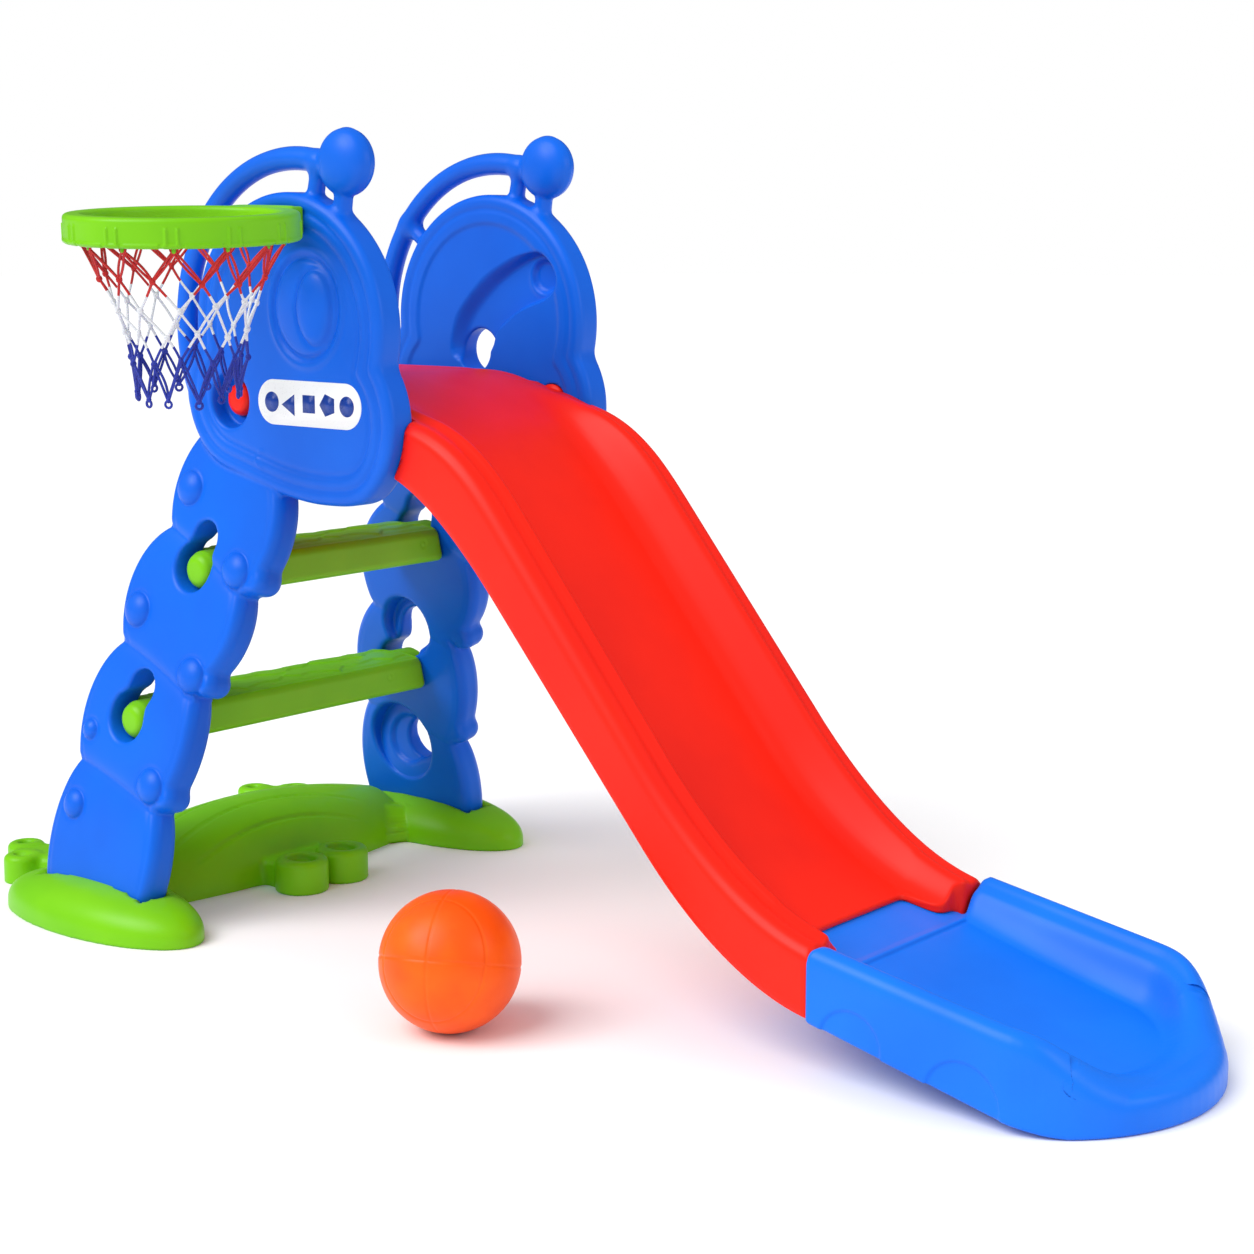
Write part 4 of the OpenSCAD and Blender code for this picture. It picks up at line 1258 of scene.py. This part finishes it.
    def _lower(self, u: Array, v: Array) -> Array:
        """Places the underside, which is deep under the rails and the platform."""
        t = np.abs(v)
        y0 = np.interp(t, [0, 0.45, 0.5, 0.56, 0.62, 0.9, 1], [0, 128, 139, 141, 146, 181, 184.4])
        x, edge = self._station(u, y0)
        nx, nz = self._normal(x)
        low = self._reach(x, self.belly)
        thin = -22 + 14 * step_up(1000, 1004, x)
        deep = 1 - step_up(545, 580, x)
        rail_share = np.interp(t, [0, 0.5, 0.56, 0.62, 1], [0, 0, 0.9, 1, 1])
        share = np.maximum(deep, rail_share)
        a = thin * (1 - share) + low * share
        width = self.platform_half + (self.half - self.platform_half) * step_up(368, 384, x)
        a = a + self._end_round(edge, np.where(y0 > 138, 5.0, 3.0))
        y = np.sign(v) * y0 * width / self.half
        return np.stack([x + a * nx, y, self._height(self.floor, x) + a * nz], 1)

    def _station(self, u: Array, y: Array) -> tuple[Array, Array]:
        """X on the floor for a place along the slide, where the end is stepped across Y.

        Args:
            u: X as if the slide ended square.
            y: Distance from the middle.

        Returns:
            The true X, and how far it is from the nearer end.
        """
        end = self.lip_x + (self.tab_x - self.lip_x) * step_up(92, 112, y) \
            + (self.end_x - self.tab_x) * step_up(134, 142, y)
        start = 900.0
        x = np.where(u > start, start + (u - start) * (end - start) / (self.end_x - start), u)
        return x, np.minimum(end - x, x - 100)

    @staticmethod
    def _end_round(edge: Array, radius: Array) -> Array:
        """How far the skin drops to round the last few millimetres."""
        near = np.clip(radius - edge, 0, radius)
        return radius - np.sqrt(np.maximum(radius ** 2 - near ** 2, 0))

    def _shell(self) -> bpy.types.Mesh:
        """Lofts the chute as an upper and a lower skin, joined all round."""
        half_count = 64
        ends = np.array([0, 0.25, 0.8, 1.6, 2.8, 4.4, 6.5, 9.5])
        along = np.r_[100 + ends, np.linspace(116, 1068, 190), self.end_x - ends[::-1]]
        across = np.linspace(-1, 1, 2 * half_count - 1)
        bm = bmesh.new()
        bmesh.ops.create_grid(bm, x_segments=len(along) - 1, y_segments=len(across) - 1, size=1.0)
        copy = bmesh.ops.duplicate(bm, geom=bm.verts[:] + bm.edges[:] + bm.faces[:])["geom"]
        lower = [g for g in copy if isinstance(g, bmesh.types.BMVert)]
        bmesh.ops.translate(bm, verts=lower, vec=(0, 0, -1))
        bmesh.ops.bridge_loops(bm, edges=[e for e in bm.edges if e.is_boundary])
        co = np.array([v.co for v in bm.verts])
        u = np.interp(co[:, 0], np.linspace(-1, 1, len(along)), along)
        v = np.interp(co[:, 1], np.linspace(-1, 1, len(across)), across)
        points = np.where(co[:, 2:3] > -0.5, self._upper(u, v, half_count), self._lower(u, v))
        for vert, place in zip(bm.verts, points * MM):
            vert.co = place
        bmesh.ops.recalc_face_normals(bm, faces=bm.faces)
        return mesh_from(bm, "chute_shell")

    def _head_seats(self) -> bpy.types.Object:
        """The two round solids that leave room for the heads."""
        bm = bmesh.new()
        for s in (-1, 1):
            centre = Vector((self.jaw[0], s * (self.platform_half + 0.3 + 35), self.jaw[1])) * MM
            matrix = Matrix.Translation(centre) @ Matrix.Rotation(math.pi / 2, 4, "X")
            bmesh.ops.create_cone(bm, cap_ends=True, segments=192, radius1=self.jaw_cut_r * MM,
                                  radius2=self.jaw_cut_r * MM, depth=70 * MM, matrix=matrix)
        return add_object("head_seats", mesh_from(bm, "head_seats"))

    @staticmethod
    def _soften_feet(bm: bmesh.types.BMesh) -> None:
        """Rounds the two feet that run on past the floor's lip."""
        def in_foot(v: bmesh.types.BMVert) -> bool:
            """Whether a point lies at a foot."""
            return v.co.x > 1018 * MM and 80 * MM < abs(v.co.y) < 152 * MM
        walls = [e for e in bm.edges
                 if all(in_foot(v) for v in e.verts) and e.calc_length() > 10 * MM]
        bmesh.ops.subdivide_edges(bm, edges=walls, cuts=4)
        foot = [v for v in bm.verts if in_foot(v)]
        for _ in range(9):
            bmesh.ops.smooth_vert(bm, verts=foot, factor=0.5,
                                  use_axis_x=True, use_axis_y=True, use_axis_z=True)

    def _pegs(self, bm: bmesh.types.BMesh) -> None:
        """Adds the four moulded pegs that hold the chute in the heads."""
        for s in (-1, 1):
            for (px, pz), root, tip in (((172, 711), 146.5, 197.5), ((402, 700), 165.4, 181.5)):
                made = bmesh.ops.create_cone(
                    bm, cap_ends=True, segments=48, radius1=22 * MM, radius2=22 * MM,
                    depth=(tip - root) * MM,
                    matrix=Matrix.Translation(Vector((px, s * (root + tip) / 2, pz)) * MM)
                    @ Matrix.Rotation(-s * math.pi / 2, 4, "X"))["verts"]
                rim = [e for e in {e for v in made for e in v.link_edges}
                       if all(abs(v.co.y * s / MM - tip) < 0.5 for v in e.verts)]
                bmesh.ops.bevel(bm, geom=rim, offset=12 * MM, offset_type="OFFSET", segments=6,
                                profile=0.5, affect="EDGES", material=-1)

    def build(self, finishes: Finishes) -> None:
        """Lofts, trims and dresses the chute."""
        shell = add_object("chute_shell", self._shell())
        cutter = self._head_seats()
        cut = shell.modifiers.new("seats", "BOOLEAN")
        cut.operation, cut.solver, cut.object = "DIFFERENCE", "EXACT", cutter
        trimmed = applied(shell)
        bpy.data.objects.remove(shell)
        bpy.data.objects.remove(cutter)
        bm = bmesh.new()
        bm.from_mesh(trimmed)
        self._soften_feet(bm)
        self._pegs(bm)
        piece(mesh_from(bm, "chute"), "chute_moulding", finishes.red, ["chute"])


# ------------------------------------------------------------------ extension

@dataclass
class ChuteExtension:
    """The blue exit piece: low rails that run out into a rolled front lip."""

    chute: Chute
    start_x: float = 1087.3
    tip_x: float = 1478
    half: float = 196
    corner_x: float = 1323
    arches: tuple[Point3, ...] = ((1148, 52, 40), (1290, 22, 46))

    def __post_init__(self) -> None:
        """Draws the plan and the side-view curves."""
        nose = bow([(self.corner_x, -self.half), (self.corner_x + 75, -self.half),
                    (self.tip_x, -0.55 * self.half), (self.tip_x, 0)], 20)
        front = [*map(tuple, nose), *[(x, -y) for x, y in nose[-2::-1]]]
        self.plan = [(self.start_x, -self.half), *front, (self.start_x, self.half)]
        self.long_plan = [(self.start_x - 300, -self.half), *front, (self.start_x - 300, self.half)]
        roll = bow([(1340, 112), (1395, 103), (1400, 62), (1440, 43)])
        self.crest = np.vstack([[(1087, 154)], roll, [(self.tip_x, 42)]])
        self.floor = np.array([(1087, 113), (1140, 98), (1200, 82), (1260, 67), (1320, 53),
                               (1370, 43), (1405, 38), (1430, 37), (1478, 37)], float)
        self.belly = np.array([(1087, 66), (1380, 3), (1400, 0), (1478, 0)], float)

    def _top(self, x: Array, inside: Array) -> Array:
        """Height of the upper skin, by the distance in from the plan's edge."""
        crest = np.interp(x, self.crest[:, 0], self.crest[:, 1])
        floor = np.interp(x, self.floor[:, 0], self.floor[:, 1])
        ledge = 1 - step_up(1375, 1405, x)
        share = 1 - step_up(20, 74, inside)
        share += ledge * (0.085 * hump(inside - 44, 7) - 0.05 * hump(inside - 30, 6))
        return floor + (crest - floor) * share

    def _tongue(self, p: Array) -> Array:
        """Distance to the tongue that lies under the chute."""
        x, y, z = p[:, 0], np.abs(p[:, 1]), p[:, 2]
        top = np.interp(x, self.chute.floor[:, 0], self.chute.floor[:, 1])
        upper = z - (top - np.where(x > 1003, 8.3, 22.3))
        lower = top - 42 - z
        body = np.maximum.reduce([upper * 0.95, lower * 0.95, y - 140, 935 - x, x - 1100])
        wells = np.min([disc(x, y, (968, w), 10) for w in (40, 110)], axis=0)
        seat = float(np.interp(968, self.chute.floor[:, 0], self.chute.floor[:, 1])) - 34
        return np.maximum(body, -np.maximum(wells, z - seat))

    def form(self, p: Array) -> Array:
        """Distance to the whole exit piece."""
        x, y, z = p[:, 0], p[:, 1], p[:, 2]
        edge = outline_distance(x, y, self.plan)
        inside = -outline_distance(x, y, self.long_plan)
        wall = edge.copy()
        for cx, cz, r in self.arches:
            arch = disc(x, z, (cx, cz), r)
            wall += 2.6 * (1 - step_up(-1.5, 1.5, arch)) * step_up(140, 190, np.abs(y))
        top = (z - self._top(x, inside)) * 0.86
        body = -fuse(-wall, -top, 20)
        rear = self.start_x - x
        body = -fuse(-body, -rear, 7)
        belly = np.interp(x, self.belly[:, 0], self.belly[:, 1])
        hollow = 15 * step_up(44, 62, inside) * (1 - step_up(1280, 1380, x))
        body = -fuse(-body, -(belly + hollow - z), 6)
        return np.minimum(np.maximum(body, -z), self._tongue(p))

    def build(self, finishes: Finishes) -> None:
        """Moulds the exit piece and dresses it."""
        top = float(np.interp(968, self.chute.floor[:, 0], self.chute.floor[:, 1]))
        plugs = [Plug((968, y, top - 28), (0, 0, 1), 6, 11) for y in (-110, -40, 40, 110)]
        mesh = even_skin("chute_extension", 2.7, plugs)
        for rounds in (12, 24):
            relax(mesh, rounds)
            press(mesh, self.form, 5, 1.8)
            mesh = evened(mesh, 2.7)
        mould(mesh, self.form)
        piece(mesh, "chute_extension_moulding", finishes.light_blue,
              ["chute_extension"])


# ----------------------------------------------------------- hoop, net, label

@dataclass
class Hoop:
    """The green hoop with its bracket, and the knotted net that hangs on its hooks."""

    centre: Point3 = (267, -357, 942)
    lean: float = 2.7
    turn: float = 2.2
    radius: float = 144.5
    rim: float = 26
    wall: float = 6
    high: float = 36
    hooks: int = 12
    face_y: float = -208.8
    bracket: Point3 = (112, 20, 36)
    cord_r: float = 1.65

    def _frame(self) -> Matrix:
        """The hoop's own place, turned about its fixing on the head."""
        pivot = Vector((self.centre[0], self.centre[1] + self.radius, self.centre[2]))
        turn = (Matrix.Rotation(math.radians(self.turn), 4, "Y")
                @ Matrix.Rotation(math.radians(self.lean), 4, "X"))
        return Matrix.Translation(pivot) @ turn @ Matrix.Translation((0, -self.radius, 0))

    def _local(self, p: Array) -> Array:
        """Points in the hoop's own frame."""
        m = np.array(self._frame().inverted())
        return p @ m[:3, :3].T + m[:3, 3]

    def form(self, p: Array) -> Array:
        """Distance to the ring with its ribs, hooks and bracket."""
        q = self._local(p)
        rho = np.hypot(q[:, 0], q[:, 1])
        middle = self.radius - self.rim / 2
        band = 1.8 * step_up(-13.5, -11.5, q[:, 2]) * step_up(0, 3, rho - middle)
        ring = plate(np.abs(rho - middle) - self.rim / 2 + band, q[:, 2], self.high / 2, 6.0)
        pitch = 2 * math.pi / self.hooks
        swing = (np.arctan2(q[:, 1], q[:, 0]) % pitch) - pitch / 2
        off = np.abs(swing) * self.radius
        slim = np.maximum(np.abs(off - 7) - 1.5, np.abs(q[:, 2] + 4) - 10)
        rib = plate(slim, rho - self.radius + 2.4, 2.4, 0.8)
        ring = fuse(ring, rib, 1.5)
        notch = np.maximum(np.abs(off - 13) - 2.6, q[:, 2] + self.high / 2 - 6)
        ring = carve(ring, notch, 1.0)
        channel = plate(np.abs(rho - middle) - self.rim / 2 + self.wall, q[:, 2] + 24,
                        self.high / 2 + 18, 3)
        bx, by, bz = self.bracket
        block = np.stack([np.abs(p[:, 0] - self.centre[0]) - bx / 2,
                          np.abs(p[:, 1] - self.face_y + by / 2) - by / 2,
                          np.abs(p[:, 2] - self.centre[2]) - bz / 2], 1) + 4
        bracket = np.linalg.norm(np.maximum(block, 0), axis=1) + np.minimum(block.max(1), 0) - 4
        body = fuse(carve(ring, channel, 1.5), bracket, 8)
        body = np.maximum(body, -(rho - self.radius + self.rim))
        hook_r = self.radius - self.rim + self.wall / 2
        hook = np.maximum(np.hypot(rho - hook_r, swing * hook_r) - 3.0, np.abs(q[:, 2] + 13) - 11)
        return np.minimum(body, hook)

    def _knot_places(self) -> list[list[Vector]]:
        """Rows of knots from the hooks down, alternately half a pitch apart."""
        rng = np.random.default_rng(7)
        rows = ((121.5, -22), (101, -58), (87, -92), (77, -127), (72, -160), (64, -201))
        pitch = 2 * math.pi / self.hooks
        found = []
        for k, (r, z) in enumerate(rows):
            shake = 0 if k == 0 else 1
            row = []
            for i in range(self.hooks):
                a = (i + 0.5 + 0.5 * (k % 2)) * pitch + shake * rng.normal(0, 0.028)
                rr, zz = r + shake * rng.normal(0, 1.6), z + shake * rng.normal(0, 3.2)
                row.append(Vector((rr * math.cos(a), rr * math.sin(a), zz)))
            found.append(row)
        return found

    @staticmethod
    def _colour_at(z: float) -> int:
        """Which cord colour a height has: red, white or blue."""
        return 0 if z > -76 else 1 if z > -140 else 2

    def _strand(self, curve: bpy.types.Curve, a: Vector, b: Vector, bulge: Vector) -> None:
        """Lays one cord from a to b, split where its colour changes.

        Args:
            curve: The curve that holds all cords.
            a: Upper end.
            b: Lower end.
            bulge: How far the middle of the cord swings out.
        """
        steps = [a.lerp(b, t) + bulge * math.sin(math.pi * t) for t in np.linspace(0, 1, 9)]
        runs: list[tuple[int, list[Vector]]] = []
        for here, there in zip(steps, steps[1:]):
            tone = self._colour_at((here.z + there.z) / 2)
            if not runs or runs[-1][0] != tone:
                runs.append((tone, [here]))
            runs[-1][1].append(there)
        for tone, points in runs:
            spline = curve.splines.new("POLY")
            spline.points.add(len(points) - 1)
            for slot, place in zip(spline.points, points):
                slot.co = (*(place * MM), 1)
            spline.material_index = tone

    def _net(self, finishes: Finishes) -> None:
        """Knots the net and hangs it on the hooks."""
        rng = np.random.default_rng(11)
        curve = bpy.data.curves.new("cords", "CURVE")
        curve.dimensions, curve.bevel_depth, curve.bevel_resolution = "3D", self.cord_r * MM, 2
        curve.use_fill_caps = True
        for _ in range(3):
            curve.materials.append(None)
        rows = self._knot_places()
        for k, (row, below) in enumerate(zip(rows, rows[1:])):
            for i, knot in enumerate(row):
                for j in (i, (i - 1) % self.hooks) if k % 2 == 0 else (i, (i + 1) % self.hooks):
                    end = below[j]
                    out = Vector((knot.x, knot.y, 0)).normalized()
                    side = Vector((-out.y, out.x, 0))
                    for s in ((-1, 1) if k in (0, 4) else (0,)):
                        sway = side * (1.7 * s + rng.normal(0, 0.8))
                        swing = sway - out * abs(rng.normal(0, 1.2))
                        self._strand(curve, knot + side * 1.4 * s, end + side * 0.8 * s, swing)
        self._loops(curve, rows)
        holder = add_object("cords", curve)
        mesh = applied(holder)
        bpy.data.objects.remove(holder)
        bm = bmesh.new()
        bm.from_mesh(mesh)
        for k, row in enumerate(rows[1:], 1):
            for knot in row:
                self._knot(bm, knot, 3.7 if k < 5 else 3.0, rng)
        place = Matrix.Scale(MM, 4) @ self._frame() @ Matrix.Scale(1 / MM, 4)
        bmesh.ops.transform(bm, matrix=place, verts=bm.verts)
        piece(mesh_from(bm, "net"), "hoop_net_cords",
              [finishes.red_cord, finishes.white_cord, finishes.blue_cord], ["hoop_net"])

    def _loops(self, curve: bpy.types.Curve, rows: list[list[Vector]]) -> None:
        """Adds a small ring of cord under each of the lowest knots, and one on each hook."""
        for row, r, drop in ((rows[-1], 4.2, -5.0), (rows[0], 4.0, 2.5)):
            for knot in row:
                out = Vector((knot.x, knot.y, 0)).normalized()
                side = Vector((-out.y, out.x, 0))
                spline = curve.splines.new("POLY")
                spline.use_cyclic_u = True
                spline.points.add(11)
                for t, slot in zip(np.linspace(0, 2 * math.pi, 13)[:-1], spline.points):
                    place = (knot + Vector((0, 0, drop)) + side * r * math.cos(t)
                             + Vector((0, 0, r * math.sin(t))))
                    slot.co = (*(place * MM), 1)
                spline.material_index = self._colour_at(knot.z)

    def _knot(self, bm: bmesh.types.BMesh, place: Vector, size: float,
              rng: np.random.Generator) -> None:
        """Adds one lumpy knot in the colour of its height."""
        shape = Matrix.Diagonal((size * 1.15, size * 0.9, size * 1.25, 1))
        spin = Matrix.Rotation(rng.uniform(0, 6), 4, "Z")
        matrix = Matrix.Scale(MM, 4) @ Matrix.Translation(place) @ spin @ shape
        made = bmesh.ops.create_icosphere(bm, subdivisions=2, radius=1.0, matrix=matrix)["verts"]
        for face in {f for v in made for f in v.link_faces}:
            face.material_index = self._colour_at(place.z)

    def build(self, finishes: Finishes) -> None:
        """Moulds the hoop, hangs the net and dresses both."""
        plugs = [Plug((self.centre[0] + s * 35, self.face_y - 10, self.centre[2]), (0, 1, 0), 8, 18)
                 for s in (-1, 1)]
        mesh = even_skin("hoop_ring", 1.7, plugs)
        mould(mesh, self.form)
        piece(mesh, "hoop_ring_moulding", finishes.green, ["hoop_ring"])
        self._net(finishes)


@dataclass
class Label:
    """The white sticker on the right head, printed with plain toy shapes."""

    centre: Point2 = (324, 713)
    width: float = 190
    high: float = 58
    thick: float = 0.4
    face_y: float = -208.5

    def _pill(self) -> bpy.types.Mesh:
        """The sticker: a pill outline with a softened edge."""
        bm = bmesh.new()
        bmesh.ops.create_circle(bm, cap_ends=True, segments=96, radius=self.high / 2 * MM)
        straight = (self.width - self.high) / 2 * MM
        for v in bm.verts:
            v.co.x += straight if v.co.x > 0 else -straight
        top = bmesh.ops.extrude_face_region(bm, geom=bm.faces[:])["geom"]
        verts = [g for g in top if isinstance(g, bmesh.types.BMVert)]
        bmesh.ops.translate(bm, verts=verts, vec=(0, 0, self.thick * MM))
        bmesh.ops.scale(bm, verts=verts, vec=(0.998, 0.994, 1))
        bmesh.ops.recalc_face_normals(bm, faces=bm.faces)
        self._hang(bm, 0)
        return mesh_from(bm, "label")

    def _hang(self, bm: bmesh.types.BMesh, lift: float) -> None:
        """Stands a flat drawing up on the head's outer face."""
        place = Vector((self.centre[0], self.face_y - lift, self.centre[1])) * MM
        stand = Matrix.Translation(place) @ Matrix.Rotation(math.pi / 2, 4, "X")
        bmesh.ops.transform(bm, matrix=stand, verts=bm.verts)

    def _prints(self) -> bpy.types.Mesh:
        """The print: a dot, a triangle, a square, a pentagon and a dot of plain ink."""
        bm = bmesh.new()
        for i, (sides, r) in enumerate(((40, 13), (3, 16), (4, 16), (5, 15), (40, 13))):
            x = (i - 2) * 34.5
            spin = {3: math.pi / 2, 4: math.pi / 4, 5: math.pi / 2}.get(sides, 0)
            faces = bmesh.ops.create_circle(
                bm, cap_ends=True, segments=sides, radius=r * MM,
                matrix=Matrix.Translation((x * MM, (-2.5 if sides == 3 else 0) * MM, 0))
                @ Matrix.Rotation(spin, 4, "Z"))["verts"]
            own = list({f for v in faces for f in v.link_faces})
            grown = bmesh.ops.extrude_face_region(bm, geom=own)["geom"]
            bmesh.ops.translate(bm, verts=[g for g in grown if isinstance(g, bmesh.types.BMVert)],
                                vec=(0, 0, 0.12 * MM))
            for v in faces:
                for f in v.link_faces:
                    f.material_index = 1 if i == 4 else 0
        bmesh.ops.recalc_face_normals(bm, faces=bm.faces)
        self._hang(bm, self.thick)
        return mesh_from(bm, "label_print")

    def build(self, finishes: Finishes) -> None:
        """Sticks the label on and prints it."""
        piece(self._pill(), "label_sticker", finishes.film, ["label"])
        piece(self._prints(), "label_print", [finishes.ink, finishes.red_ink])


# ----------------------------------------------------------------------- ball

@dataclass
class PlayBall:
    """The loose orange ball with fine seam grooves."""

    centre: Point3 = (675, -328, 84)
    radius: float = 84

    def _seams(self, d: Array) -> Array:
        """Angle in radians from each direction to the nearest seam."""
        t1, t2 = math.radians(24), math.radians(-18)
        turn = np.array(Matrix.Rotation(t1, 3, "Z") @ Matrix.Rotation(t2, 3, "X"))
        q = d @ turn
        rings = np.abs(np.arcsin(np.clip(q[:, [0, 2]], -1, 1))).min(axis=1)
        sides = np.abs(np.abs(q[:, 1]) - 0.55 - 0.22 * np.abs(q[:, 0]) ** 2)
        return np.minimum(rings, sides)

    def build(self, finishes: Finishes) -> None:
        """Makes the ball with a shallow seat for its valve, and dresses the ball."""
        bm = bmesh.new()
        bmesh.ops.create_icosphere(bm, subdivisions=7, radius=1.0)
        d = np.array([v.co for v in bm.verts])
        d /= np.linalg.norm(d, axis=1)[:, None]
        r = self.radius - 0.9 * hump(self._seams(d) * self.radius, 1.5)
        valve = np.degrees(np.arccos(np.clip(-d[:, 0], -1, 1)))
        r = r - 1.2 * (1 - step_up(3.0, 4.6, valve))
        points = (d * r[:, None] + np.array(self.centre)) * MM
        for vert, place in zip(bm.verts, points):
            vert.co = place
        piece(mesh_from(bm, "ball"), "play_ball", finishes.ball, ["ball"], BALL_BODY)


@dataclass
class Hardware:
    """Screws, washers, nuts and the valve, which keep their CAD shapes."""

    steel_nodes: tuple[str, ...] = (
        "hoop_screws", "hoop_washers", "hoop_nuts", "base_screws", "base_washers",
        "extension_screws", "extension_washers")

    def build(self, finishes: Finishes) -> None:
        """Dresses the CAD nodes that stay."""
        for name in self.steel_nodes:
            self._dress(name, finishes.steel)
        self._dress("ball_valve", finishes.rubber)

    @staticmethod
    def _dress(name: str, material: bpy.types.Material) -> None:
        """Puts one material on a CAD node."""
        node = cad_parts[name]
        if not node.material_slots:
            node.data.materials.append(material)
        for slot in node.material_slots:
            slot.material = material
        LOG.info("%s: CAD shape, %s", name, material.name)


def main() -> None:
    """Builds the whole set in order."""
    Studio().build()
    finishes = Finishes()
    leg = LegPlane()
    SidePanel(Side.RIGHT, leg).build(finishes)
    SidePanel(Side.LEFT, leg).build(finishes)
    StepBoard("upper_step", (116, 481.3), 150, leg).build(finishes)
    StepBoard("lower_step", (29, 273.3), 165, leg).build(finishes)
    LadderBase(leg).build(finishes)
    chute = Chute()
    chute.build(finishes)
    ChuteExtension(chute).build(finishes)
    Hoop().build(finishes)
    Label().build(finishes)
    PlayBall().build(finishes)
    Hardware().build(finishes)


if __name__ == "__main__":
    main()
